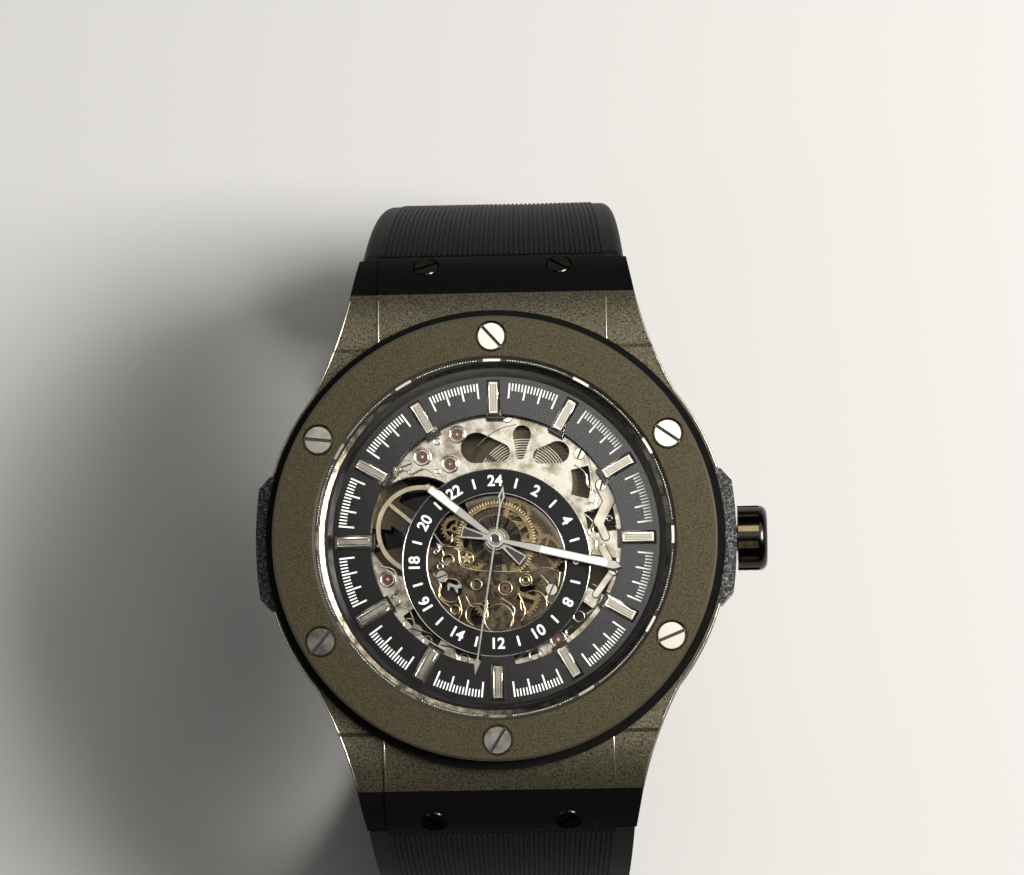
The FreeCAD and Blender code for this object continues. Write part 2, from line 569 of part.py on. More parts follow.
def make_click():
    """The pawl that lets the ratchet wheel turn one way only."""
    reach = RATCHET_TEETH * WINDING_MODULE / 2 + 0.2
    x, y = polar(reach, 150)
    tip = (BARREL_AT[0] + x, BARREL_AT[1] + y)
    pivot = (tip[0] - 0.9, tip[1] - 0.9)
    body = [(tip[0], tip[1]), (tip[0] - 0.5, tip[1] + 0.1), (pivot[0] - 0.5, pivot[1]),
            (pivot[0], pivot[1] - 0.5),
            (tip[0] - 0.05, tip[1] - 0.45)]
    return fused([prism(body, 3.3, 3.6), cylinder(0.5, 3.3, 3.6, pivot)]).cut(cylinder(0.2, 3, 4, pivot))


def make_motion_work():
    phase = mesh_phase((0, 0), CANNON_TEETH, 0.0, MINUTE_WHEEL_AT, MINUTE_TEETH)
    wheel = gear(MINUTE_TEETH, CANNON_MODULE, 8.10, 8.30, MINUTE_WHEEL_AT, phase, 0, 4, 0.35, 1.3, 0.4)
    pinion = gear(MINUTE_PINION, HOUR_MODULE, 8.3, 8.72, MINUTE_WHEEL_AT, phase)
    parts["minute_wheel"] = fused([wheel, pinion]).cut(cylinder(0.25, 8, 9, MINUTE_WHEEL_AT))
    phase = mesh_phase(MINUTE_WHEEL_AT, MINUTE_PINION, phase, (0, 0), HOUR_TEETH)
    hour = gear(HOUR_TEETH, HOUR_MODULE, 8.48, 8.68, (0, 0), phase, 0, 5, 0.42, 1.2, 0.42)
    collar = prism(tooth_outline(64, 0.075), 8.66, 8.78)
    parts["hour_wheel"] = fused([hour, collar, cylinder(0.64, 8.48, 10.02)]).cut(cylinder(0.38, 8, 11))


def make_escapement():
    """The lever and the balance, with its roller and staff."""
    px, py = PALLET_AT
    to_balance = math.degrees(math.atan2(BALANCE_AT[1] - py, BALANCE_AT[0] - px))
    to_escape = math.degrees(math.atan2(ESCAPE_AT[1] - py, ESCAPE_AT[0] - px))
    reach = math.hypot(BALANCE_AT[0] - px, BALANCE_AT[1] - py)
    horns = box(reach - 0.8, reach - 0.42, -0.34, 0.34, 6.3, 6.45).cut(box(reach - 0.66, reach, -0.14, 0.14,
                                                                           6, 7))
    fork = turned(fused([box(0, reach - 0.62, -0.13, 0.13, 6.3, 6.45), horns]), to_balance)
    stones = [box(-0.2, 0.6, s * 1.3 - 0.12, s * 1.3 + 0.12, 6.3, 6.5) for s in (1, -1)]
    arms = turned(fused([box(-0.2, 0.2, -1.45, 1.45, 6.3, 6.45)] + stones), to_escape)
    staff = cylinder(0.1, 5.62, PLATE_Z - 0.08)
    parts["pallet_fork"] = moved(fused([fork, arms, cylinder(0.42, 6.3, 6.45), staff]), px, py)

    rim = ring(BALANCE_R, BALANCE_R - 0.42, 5.0, 5.5)
    arms = [turned(box(0, BALANCE_R - 0.3, -0.17, 0.17, 5.08, 5.3), 20 + 120 * i) for i in range(3)]
    weights = [turned(rod_x(0.2, BALANCE_R - 0.05, BALANCE_R + 0.22, 0, 5.25),
                      80 + 120 * i) for i in range(3)]
    hub = [cylinder(0.5, 4.98, 5.5), cylinder(0.15, BRIDGE_Z + 0.12, PLATE_TOP - 0.2),
           cylinder(0.42, 5.9, 6.2)]
    pin = turned(cylinder(0.06, 6.1, 6.55, (0.34, 0)), to_balance + 180)
    parts["balance_wheel"] = moved(fused([rim] + arms + weights + hub + [pin]), *BALANCE_AT)
    parts["hairspring"] = moved(spiral_strip(0.62, 1.95, 7, 0.04, 4.75, 4.9, 40), *BALANCE_AT)


# ---------------------------------------------------------------- plates and bridges
def capsule(a, b, radius, low, high):
    """A round-ended bar between two points, in plan."""
    length = math.hypot(b[0] - a[0], b[1] - a[1])
    bar = box(0, length, -radius, radius, low, high)
    bar = moved(turned(bar, math.degrees(math.atan2(b[1] - a[1], b[0] - a[0]))), *a)
    return fused([bar, cylinder(radius, low, high, a), cylinder(radius, low, high, b)])


def petal(a, radius_a, b, radius_b, low, high):
    """A rounded opening that is wide at a and narrows towards b."""
    way = math.atan2(b[1] - a[1], b[0] - a[0])
    lean = math.acos((radius_a - radius_b) / math.hypot(b[0] - a[0], b[1] - a[1]))
    points = []
    for at, radius, turns in ((a, radius_a, (way + lean, way - lean)),
                              (b, radius_b, (way - lean, way + lean))):
        points += [(at[0] + radius * math.cos(t), at[1] + radius * math.sin(t)) for t in turns]
    return fused([prism(points, low, high), cylinder(radius_a, low, high, a),
                  cylinder(radius_b, low, high, b)])


def sector_window(inner, outer, first, last, low, high, at=(0, 0)):
    """An arc-shaped opening between two radii and two bearings."""
    span = ring(outer, inner, low, high)
    wedge = prism([(0, 0)] + [polar(outer * 2, first + (last - first) * i / 6) for i in range(7)], low,
                  high)
    return moved(span.common(wedge), *at)


def make_main_plate():
    low, high = PLATE_Z - 1, PLATE_TOP + 1
    plate = cylinder(PLATE_R, PLATE_Z, PLATE_TOP)
    windows = [
        cylinder(4.85, low, high, BALANCE_AT),
        petal((-1.75, 8.75), 1.45, (0.55, 8.3), 0.85, low, high),
        petal((2.55, 9.95), 0.85, (2.35, 7.9), 0.35, low, high),
        petal((5.9, 8.2), 1.05, (4.3, 7.9), 0.75, low, high),
        sector_window(4.6, 6.3, -15, 14, low, high, BARREL_AT),
        sector_window(8.6, 11.3, 4, 17, low, high),
        sector_window(8.9, 11.3, -28, -9, low, high),
        sector_window(9.3, 11.2, -58, -36, low, high),
        sector_window(9.2, 11.2, -112, -70, low, high),
        sector_window(9.2, 11.2, -142, -120, low, high),
        sector_window(1.6, 3.4, -150, -95, low, high, THIRD_AT),
        sector_window(1.5, 3.3, -70, 10, low, high, THIRD_AT),
        cylinder(1.25, low, high, (-4.15, -4.3)),
        cylinder(1.2, low, high, (-1.35, -7.0)),
        capsule((1.9, 1.7), (2.7, 1.2), 0.55, low, high),
    ]
    for window in windows:
        plate = plate.cut(window)
    plate = plate.cut([cylinder(0.6, low, high), cylinder(0.42, low, high, BARREL_AT)])
    plate = plate.cut([cylinder(0.5, low, high, at) for at in (THIRD_AT, ESCAPE_AT)])
    plate = bevelled(plate, PLATE_TOP, 0.14, lambda e: e.BoundBox.DiagonalLength > 1.6)
    rim = ring(PLATE_R, RIM_IN, BRIDGE_TOP, PLATE_Z).cut(box(10, 14, -1.4, 1.4, 3, 6.95))
    parts["main_plate"] = fused([plate, rim])


def make_bridges():
    """The two bridges and the balance cock on the back of the movement."""
    low, high = BRIDGE_Z - 1, BRIDGE_TOP + 1
    disc = cylinder(PLATE_R, BRIDGE_Z, BRIDGE_TOP)
    gap = 0.15
    upper_side = prism([(-14, 10.6), (-8.2, 6.1), (-3.2, 2.0), (2.9, -0.2), (14, -2.1), (14, 14),
                        (-14, 14)], low, high)
    parting = [(-3.0, 1.95 - gap), (2.9, -0.2 - gap), (14, -2.1 - gap)]
    lower_side = prism(parting + [(14, -14), (-9, -14), (-5.2, -3.6)], low, high)
    barrel_bridge = disc.common(upper_side).cut(box(10.3, 14, -2.3, 1.7, low, high))
    barrel_bridge = barrel_bridge.cut(box(7.6, 14, -1.2, 1.2, 4.0, high))
    holes = [cylinder(4.95, low, high, BALANCE_AT), cylinder(0.74, low, high, BARREL_AT)]
    holes += [sector_window(2.1, 4.1, a, a + 48, low, high, BARREL_AT) for a in (100, 170, 240)]
    barrel_bridge = barrel_bridge.cut(holes)
    post = cylinder(0.85, 3.3, BRIDGE_Z, CROWN_WHEEL_AT)
    barrel_bridge = barrel_bridge.fuse(post).removeSplitter()
    holes = [cylinder(4.95, low, high, BALANCE_AT), cylinder(1.9, low, high, (-2.2, -8.6))]
    holes += [sector_window(1.2, 2.9, a, a + 70, low, high, THIRD_AT) for a in (-160, -70, 20)]
    train_bridge = disc.common(lower_side).cut(holes)
    cock = capsule(BALANCE_AT, (-11.4, 4.1), 1.15, BRIDGE_Z, BRIDGE_TOP).common(disc)
    cock_foot = disc.common(sector_window(10.2, 14, 146, 172, low, high))
    cock = fused([cock, cock_foot])
    screws_at = [polar(12.1, a) for a in (25, 68, 120, -25, -75, -118, 159)]
    screw_holes = [cylinder(0.36, low, high, at) for at in screws_at]
    jewel_holes = [cylinder(0.75, low, high, at) for at in (THIRD_AT, ESCAPE_AT, (0, 0))]
    barrel_bridge = barrel_bridge.cut(screw_holes + jewel_holes)
    train_bridge = train_bridge.cut(screw_holes + jewel_holes)
    cock = cock.cut(screw_holes).cut(cylinder(0.6, low, high, BALANCE_AT))
    parts["barrel_bridge"] = bevelled(barrel_bridge, BRIDGE_Z, 0.12,
                                      lambda e: e.BoundBox.DiagonalLength > 2.5)
    parts["train_bridge"] = bevelled(train_bridge, BRIDGE_Z, 0.12,
                                     lambda e: e.BoundBox.DiagonalLength > 2.5)
    parts["balance_cock"] = bevelled(cock, BRIDGE_Z, 0.12, lambda e: e.BoundBox.DiagonalLength > 2.5)
    screws = []
    for i, at in enumerate(screws_at):
        screw = slotted_screw(0.62, 0.3, 0.32, 1.7, 0.16, 0.12, 40 * i)
        screw.rotate(V(0, 0, 0), X, 180)
        screws.append(moved(screw, at[0], at[1], BRIDGE_Z - 0.3))
        parts["main_plate"] = parts["main_plate"].cut(cylinder(0.36, BRIDGE_TOP - 0.1, 6.2, at))
    return screws


def make_dial_side(screws):
    """The bridge over the motion work, the setting parts, and the jewels and screws seen from the front."""
    low, high = 8.86, 9.06
    bridge = cylinder(7.1, low, high, (0, RING24_Y))
    above = [(-8, -0.7), (-4.6, -0.5), (-3.4, -0.9), (-3.2, -2.2), (-2.3, -2.7), (-1.2, -2.85), (3.0, -3.0),
             (4.9, -2.6), (6.0, -3.05), (8, -3.05), (8, 9), (-8, 9)]
    bridge = bridge.cut(prism(above, low - 1, high + 1)).fuse(capsule((-4.2, -2.6), JEWEL_AT, 0.78, low,
                                                                      high))
    for at, radius in (((-4.3, -4.6), 1.05), ((-1.9, -6.9), 1.0), ((3.4, -6.0), 1.2), ((-4.5, -1.75), 0.5),
                       ((-1.9, -4.1), 0.45), ((-3.9, -6.4), 0.4)):
        bridge = bridge.cut(cylinder(radius, low - 1, high + 1, at))
    bridge = bridge.cut(sector_window(1.2, 2.9, -75, 5, low - 1, high + 1, MINUTE_WHEEL_AT))
    bridge = bridge.cut(sector_window(1.2, 2.9, 170, 235, low - 1, high + 1, MINUTE_WHEEL_AT))
    bridge = bridge.cut([cylinder(0.42, low - 1, high + 1, at) for at in (MINUTE_WHEEL_AT,
                                                                          JEWEL_AT)]).removeSplitter()
    parts["motion_bridge"] = bevelled(bridge, high, 0.09, lambda e: e.BoundBox.DiagonalLength > 1.0)

    low_z, top_z = PLATE_TOP + 0.05, LEVER_TOP
    lever = [capsule((9.6, 1.6), (10.6, 3.6), 0.55, low_z, top_z),
             capsule((10.6, 3.6), LEVER_AT, 0.62, low_z, top_z),
             capsule((9.6, 1.6), (10.2, 0.2), 0.42, low_z, top_z)]
    parts["setting_lever"] = bevelled(fused(lever), top_z, 0.08).cut(cylinder(0.34, 8, 9, LEVER_AT))
    yoke = [capsule((9.9, -0.9), YOKE_AT, 0.4, low_z, top_z),
            capsule(YOKE_AT, (9.2, -5.2), 0.35, low_z, top_z),
            cylinder(0.62, low_z, top_z, YOKE_AT)]
    parts["yoke"] = bevelled(fused(yoke), top_z, 0.08).cut(cylinder(0.34, 8, 9, YOKE_AT))

    jewels = []
    for at in (THIRD_AT, ESCAPE_AT):
        for z in (BRIDGE_Z + 0.1, PLATE_TOP - 0.45):
            jewels.append(ring(0.72 if z < 5 else 0.47, 0.15, z, z + 0.35, at))
    jewels.append(ring(0.72, 0.15, BRIDGE_Z + 0.1, BRIDGE_TOP - 0.1))
    jewels.append(ring(0.57, 0.19, BRIDGE_Z + 0.1, BRIDGE_TOP - 0.1, BALANCE_AT))
    for at in ((-6.8, 8.0), (-3.5, 10.05), (-4.2, 7.3), (-10.2, -3.4), (5.6, -9.3)):
        jewels.append(ring(0.52, 0.14, PLATE_TOP + 0.01, PLATE_TOP + 0.16,
                           at).cut(ring(0.4, 0.2, PLATE_TOP + 0.1, 9, at)))
    jewels += [ring(0.4, 0.14, low + 0.02, high - 0.02, at) for at in (MINUTE_WHEEL_AT, JEWEL_AT)]
    parts["movement_jewels"] = Part.makeCompound(jewels)
    for i, at in enumerate(((-8.3, 7.2), (7.9, 8.0), (11.2, -5.2), (-7.6, -8.2), (1.2, 11.6), LEVER_AT,
                            YOKE_AT)):
        seat = LEVER_TOP if at in (LEVER_AT, YOKE_AT) else PLATE_TOP
        screws.append(front_screw(at, seat, seat - PLATE_TOP + 0.7, 47 * i + 20))
        parts["main_plate"] = parts["main_plate"].cut(cylinder(0.34, PLATE_TOP - 0.8, 9, at))
    for i, at in enumerate(((-5.1, -3.3), (5.1, -4.7))):
        screws.append(front_screw(at, 9.06, 0.7, 47 * i + 20))
        parts["motion_bridge"] = parts["motion_bridge"].cut(cylinder(0.34, 8, 10, at))
    parts["movement_screws"] = Part.makeCompound(screws)
    parts["movement_ring"] = ring(BORE_R - FIT, PLATE_R + FIT, 3.4, DIAL_SEAT_Z - 0.01).cut(
        box(12, 16, -1.6, 1.6, 3, 6.8))


def make_rotor():
    """The oscillating weight and the bearing that it turns on."""
    plate = cylinder(ROTOR_R, ROTOR_Z, ROTOR_Z + 0.35)
    half = prism([(-20, -1.9), (-1.5, 1.2), (1.5, 1.2), (20, -1.9), (20, -20), (-20, -20)], 0, 4)
    plate = plate.common(half)
    plate = plate.cut([sector_window(3.0, 8.6, a, a + 36, 0, 4) for a in (-160, -108, -56)])
    weight = ring(ROTOR_R, 9.6, ROTOR_Z, ROTOR_TOP).common(prism([(0, 0), polar(30, -10), polar(45, -60),
                                                                  polar(45, -120), polar(30, -170)], 0, 4))
    hub = cylinder(2.2, ROTOR_Z, ROTOR_Z + 0.6)
    rotor = fused([plate, weight, hub]).cut(cylinder(1.55, 0, 4))
    parts["rotor"] = bevelled(rotor, ROTOR_Z, 0.1, lambda e: e.BoundBox.DiagonalLength > 4)
    inner = fused([cylinder(1.45, ROTOR_Z + 0.05, ROTOR_Z + 0.6),
                   cylinder(0.8, ROTOR_Z + 0.6, BRIDGE_Z - 0.05)])
    inner = inner.cut(box(-2, 2, -0.15, 0.15, 0, ROTOR_Z + 0.2)).cut(cylinder(0.2, 3.4, 4))
    parts["rotor_post"] = inner


# ---------------------------------------------------------------- crown
def make_crown():
    knob = Part.makeCylinder(CROWN_R, CROWN_OUT - CROWN_IN, V(CROWN_IN, 0, STEM_Z), X)
    outer_edges = [e for e in knob.Edges if min(e.BoundBox.XMin, e.BoundBox.XMax) > CROWN_OUT - 1e-4]
    knob = knob.makeFillet(0.75, outer_edges)
    for i in range(12):
        groove = box(CROWN_IN - 1, CROWN_OUT - 0.75, -0.34, 0.34, CROWN_R - 0.3, CROWN_R + 1)
        groove.rotate(V(0, 0, 0), X, 30 * i + 15)
        knob = knob.cut(moved(groove, 0, 0, STEM_Z))
    recess = rod_x(TUBE_R + 0.85, CROWN_IN - 1, CROWN_IN + 1.4, 0, STEM_Z)
    knob = knob.cut(recess).cut(rod_x(STEM_R, CROWN_IN, CROWN_IN + 2.2, 0, STEM_Z))
    parts["crown"] = knob
    tube = rod_x(TUBE_R - 0.01, 14.75, CROWN_IN + 1.3, 0, STEM_Z).cut(rod_x(TUBE_BORE, 10, 30, 0, STEM_Z))
    parts["crown_tube"] = tube
    seal_in, seal_out = CROWN_IN + 0.2, CROWN_IN + 0.8
    seal = rod_x(TUBE_R + 0.83, seal_in, seal_out, 0, STEM_Z).cut(rod_x(TUBE_R + 0.05, 10, 30, 0, STEM_Z))
    parts["crown_seal"] = seal

    stem = rod_x(STEM_R, 10.5, CROWN_IN + 2.19, 0, STEM_Z)
    square = box(8.5, 10.52, -0.3, 0.3, STEM_Z - 0.3, STEM_Z + 0.3)
    stem = fused([stem, square, rod_x(0.22, STEM_IN, 8.52, 0, STEM_Z)])
    stem = stem.cut(rod_x(1.0, 12.6, 12.9, 0, STEM_Z).cut(rod_x(0.3, 10, 14, 0, STEM_Z)))
    parts["winding_stem"] = stem

    def across(shape, start):
        """Stands a wheel that was drawn about Z on the stem, with its low face at start."""
        shape.rotate(V(0, 0, 0), Y, 90)
        return moved(shape, start, 0, STEM_Z)

    pinion = prism(tooth_outline(WINDING_TEETH, WINDING_MODULE, 9.0), 0,
                   0.75).cut(cylinder(STEM_R + FIT, -1, 3))
    parts["winding_pinion"] = across(pinion, 11.1)
    clutch = fused([prism(tooth_outline(12, 0.13, 0.0), 0, 0.45), cylinder(0.62, 0.4, 1.2),
                    prism(tooth_outline(12, 0.13, 0.0), 1.15, 1.6)])
    clutch = clutch.cut(box(-0.33, 0.33, -0.33, 0.33, -1, 3))
    parts["clutch_wheel"] = across(clutch, 8.75)


# ---------------------------------------------------------------- strap and buckle
def width_limit(extra=0.0):
    """The strap's taper, as a long prism along Y: it narrows from the lugs to the buckle's width."""
    top, low = STRAP_HALF_TOP + extra, STRAP_HALF_LOW + extra
    tilt = (top - low) / (STRAP_Z - TAPER_END_Z)
    sides = [(top + 10 * tilt, STRAP_Z + 10), (low, TAPER_END_Z), (low, REST_Z - 10)]
    points = [V(x, -60, z) for x, z in sides] + [V(-x, -60, z) for x, z in reversed(sides)]
    return Part.Face(Part.makePolygon(points + points[:1])).extrude(V(0, 120, 0))


def around(radius, degrees):
    """(y, z) on the loop's lower corner, at an angle from straight down towards 12 o'clock."""
    a = math.radians(degrees)
    return BOTTOM_MID[0] + radius * math.sin(a), BOTTOM_MID[1] - radius * math.cos(a)


def on_top_arc(degrees, inset=0.0):
    """(y, z) on the strap's upper run where it slopes down by that many degrees."""
    a, mid_y = math.radians(degrees), STRAP_OUT_Y - TOP_ARC_R
    return mid_y + (TOP_ARC_R - inset) * math.sin(a), WIDE_Z + (TOP_ARC_R - inset) * math.cos(a)


def run_edges(inset):
    """The strap on the 12 o'clock side: its start, arc middle, widest point, arc middle and end."""
    middle = (SLOPE_END + 90) / 2
    return [yz(*on_top_arc(SLOPE_END, inset)), yz(*on_top_arc(middle, inset)),
            yz(STRAP_OUT_Y - inset, WIDE_Z),
            yz(*around(BOTTOM_R - inset, 45)), yz(*around(BOTTOM_R - inset, 0))]


def mirrored(points):
    return [V(0, -p.y, p.z) for p in points]


def make_upper_strap():
    outer, inner = run_edges(0), run_edges(STRAP_THICK)
    end_y = 0.0
    edges = [arc(*outer[0:3]), arc(*outer[2:5]), line(outer[4], yz(end_y, INNER_LAYER_Z)),
             arc(yz(end_y, INNER_LAYER_Z), yz(end_y - STRAP_THICK / 2, PIN_Z),
                 yz(end_y, INNER_LAYER_Z + STRAP_THICK)),
             line(yz(end_y, INNER_LAYER_Z + STRAP_THICK), inner[4]), arc(inner[4], inner[3], inner[2]),
             arc(inner[2], inner[1], inner[0]), line(inner[0], outer[0])]
    strap = side_prism(edges, 20).common(width_limit())
    strap = strap.fuse(side_prism(tongue_outline(0), TONGUE_W)).removeSplitter()
    strap = strap.cut(rod_x(0.75 + FIT, -20, 20, 0, PIN_Z)).cut(box(-1.6, 1.6, -3, 1.9, PIN_Z - 3,
                                                                    PIN_Z + 3))
    parts["upper_strap"] = cut_screw_shanks(softened(strap))


def softened(strap):
    """Rounds the long outer edges of a strap half."""
    outer = [e for e in strap.Edges if long_outer_edge(e)]
    for radius in (0.9, 0.6, 0.3):
        try:
            made = strap.makeFillet(radius, outer)
        except (Part.OCCError, ValueError):
            continue
        if made.isValid() and made.Volume > 0:
            return made
    return strap


def long_outer_edge(edge):
    """True for the two edges that run down the outside of the loop, from the lug to the bottom."""
    box_ = edge.BoundBox
    if edge.Length < 6 or min(abs(box_.XMin), abs(box_.XMax)) < STRAP_HALF_LOW - 0.2:
        return False
    point = edge.valueAt((edge.FirstParameter + edge.LastParameter) / 2)
    y, z = abs(point.y), point.z
    if z > WIDE_Z:
        return abs(math.hypot(y - STRAP_OUT_Y + TOP_ARC_R, z - WIDE_Z) - TOP_ARC_R) < 0.4
    return abs(math.hypot(y - BOTTOM_MID[0], z - WIDE_Z) - BOTTOM_R) < 0.05


def cut_screw_shanks(strap):
    for x in (-6.25, 6.25):
        strap = strap.cut(both_ends(screw_hole_at_slope(44.0, 0.5 + FIT, 5.2, x)))
    return strap


def make_lower_strap():
    """The long half: down the 6 o'clock side, out through the buckle and up outside the other half."""
    outer, inner = mirrored(run_edges(0)), mirrored(run_edges(STRAP_THICK))
    tail_in, tail_out = BOTTOM_R + LAYER_GAP, BOTTOM_R + LAYER_GAP + TAIL_THICK
    bend_start, bend_end = -13.6, -2.6
    top_z, low_z = INNER_LAYER_Z - LAYER_GAP, REST_Z
    middle = (bend_start + bend_end) / 2
    outer_bend = [yz(bend_start, INNER_LAYER_Z), yz(middle, (INNER_LAYER_Z + low_z) / 2),
                  yz(bend_end, low_z)]
    inner_bend = [yz(bend_start, INNER_LAYER_Z + STRAP_THICK),
                  yz(middle, (INNER_LAYER_Z + STRAP_THICK + top_z) / 2),
                  yz(bend_end, top_z)]
    edges = [arc(*outer[0:3])]
    edges.append(arc(*outer[2:5]))
    edges.append(line(outer[4], outer_bend[0]) if abs(outer[4].y - bend_start) > 1e-6 else None)
    edges += s_bend(outer_bend)
    edges.append(line(outer_bend[2], yz(BOTTOM_MID[0], low_z)))
    edges.append(arc(yz(BOTTOM_MID[0], low_z), yz(*around(tail_out, TAIL_TURN / 2)),
                     yz(*around(tail_out, TAIL_TURN))))
    edges.append(line(yz(*around(tail_out, TAIL_TURN)), yz(*around(tail_in, TAIL_TURN))))
    edges.append(arc(yz(*around(tail_in, TAIL_TURN)), yz(*around(tail_in, TAIL_TURN / 2)),
                     yz(BOTTOM_MID[0], top_z)))
    edges.append(line(yz(BOTTOM_MID[0], top_z), inner_bend[2]))
    edges += [e for e in reversed(s_bend(inner_bend))]
    edges.append(line(inner_bend[0], inner[4]) if abs(inner[4].y - bend_start) > 1e-6 else None)
    edges += [arc(inner[4], inner[3], inner[2]), arc(inner[2], inner[1], inner[0]),
              line(inner[0], outer[0])]
    strap = side_prism([e for e in edges if e], 20).common(width_limit(-0.05))
    tongue = turned(side_prism(tongue_outline(0), TONGUE_W), 180)
    strap = strap.fuse(tongue).removeSplitter()
    strap = strap.cut(box(-1.25, 1.25, -10.2, -0.6, REST_Z - 1, INNER_LAYER_Z + STRAP_THICK + 1))
    for degrees in (14, 31, 55):
        y, z = around(tail_in, degrees)
        a = math.radians(degrees)
        way = V(0, math.sin(a), -math.cos(a))
        strap = strap.cut(Part.makeCylinder(1.15, TAIL_THICK + 1, V(0, y, z) - way * 0.2, way))
    parts["lower_strap"] = cut_screw_shanks(softened(strap))


def s_bend(points):
    """Two arcs, tangent at the middle point, that carry a level run down to another level."""
    start, middle, end = points
    half, drop = middle.y - start.y, start.z - middle.z
    radius = (half ** 2 + drop ** 2) / (2 * drop)
    angle = math.asin(half / radius) / 2
    first = yz(start.y + radius * math.sin(angle), start.z - radius * (1 - math.cos(angle)))
    second = yz(end.y - radius * math.sin(angle), end.z + radius * (1 - math.cos(angle)))
    return [arc(start, first, middle), arc(middle, second, end)]


def make_buckle():
    front_top = REST_Z + 2.0
    arm = [yz(BUCKLE_FRONT_Y, REST_Z + 0.5), yz(BUCKLE_FRONT_Y + 0.5, REST_Z), yz(-8.0, REST_Z),
           yz(0.6, PIN_Z - 1.35),
           yz(1.3, PIN_Z), yz(0.6, PIN_Z + 1.2), yz(-0.8, PIN_Z + 1.2), yz(BUCKLE_FRONT_Y, front_top + 0.6)]
    outline = [line(arm[i], arm[(i + 1) % len(arm)]) for i in range(len(arm))]
    whole = side_prism(outline, BUCKLE_HALF_OUT)
    cheeks = whole.cut(box(-BUCKLE_HALF_IN, BUCKLE_HALF_IN, -30, 30, REST_Z - 5, 0))
    bar = box(-BUCKLE_HALF_IN - 0.2, BUCKLE_HALF_IN + 0.2, BUCKLE_FRONT_Y, BUCKLE_BACK_Y, REST_Z,
              front_top).common(whole)
    frame = fused([cheeks, bar]).cut(box(-1.15, 1.15, -20, BUCKLE_BACK_Y + 1, REST_Z - 1, REST_Z + 0.95))
    frame = frame.cut(rod_x(0.75 + FIT, -11.6, 11.6, 0, PIN_Z))
    parts["buckle_frame"] = frame
    parts["buckle_bar"] = rod_x(0.75, -11.5, 11.5, 0, PIN_Z)

    tip_y = BUCKLE_FRONT_Y + 0.15
    low = [yz(-0.9, PIN_Z - 0.9), yz(BUCKLE_BACK_Y + 0.6, REST_Z + 0.08), yz(tip_y, REST_Z + 0.08)]
    high = [yz(tip_y, REST_Z + 0.85), yz(BUCKLE_BACK_Y + 0.4, REST_Z + 0.9), yz(-0.2, PIN_Z + 0.4)]
    points = low + high
    blade = side_prism([line(points[i], points[(i + 1) % 6]) for i in range(6)], 0.95)
    eye = rod_x(1.35, -1.45, 1.45, 0, PIN_Z)
    parts["buckle_tang"] = fused([blade, eye]).cut(rod_x(0.75 + FIT, -5, 5, 0, PIN_Z))


def keeper(turn):
    """A band round both layers of the strap, square to them at an angle up the loop."""
    z_half = (STRAP_THICK + LAYER_GAP + TAIL_THICK) / 2 + 0.3
    radius = BOTTOM_R + LAYER_GAP + TAIL_THICK + 0.3 - z_half
    bend = radius * (1 - math.cos(math.radians(KEEPER_LONG / 2 / radius * 57.3)))
    half_x = STRAP_HALF_LOW + 0.95
    outer = box(-half_x - KEEPER_THICK, half_x + KEEPER_THICK, -KEEPER_LONG / 2, KEEPER_LONG / 2,
                -z_half - KEEPER_THICK, z_half + KEEPER_THICK + bend)
    corners = [e for e in outer.Edges if e.BoundBox.YLength > 1 and e.BoundBox.XLength < 0.01]
    band = outer.makeFillet(0.8, corners).cut(box(-half_x, half_x, -20, 20, -z_half, z_half + bend))
    band.rotate(V(0, 0, 0), X, turn)
    y, z = around(radius, turn)
    return moved(band, 0, y, z)


def make_keepers():
    parts["fixed_keeper"] = keeper(FIXED_KEEPER_TURN)
    parts["sliding_keeper"] = keeper(SLIDING_KEEPER_TURN)


def export():
    os.makedirs("parts", exist_ok=True)
    for old in os.listdir("parts"):
        if old.endswith(".step"):
            os.remove(os.path.join("parts", old))
    for name, shape in sorted(parts.items()):
        solids = shape.Solids
        state = "ok" if shape.isValid() and all(s.Volume > 0 for s in solids) else "BAD"
        print(f"{name:20s} {len(solids):3d} solids {shape.Volume:10.3f} mm3 {state}")
        shape.exportStep(f"parts/{name}.step")


make_case()
make_lug_covers()
make_bezel()
make_back()
make_dial()
make_hands()
make_train()
make_barrel()
make_motion_work()
make_escapement()
make_main_plate()
make_dial_side(make_bridges())
make_rotor()
make_crown()
make_upper_strap()
make_lower_strap()
make_buckle()
make_keepers()
export()
print("rest height", round(REST_Z, 3), "pin", round(PIN_Z, 3), "widest", round(WIDE_Z, 3), "parts",
      len(parts))
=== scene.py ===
import math

import bmesh
import bpy
from mathutils import Matrix, Vector


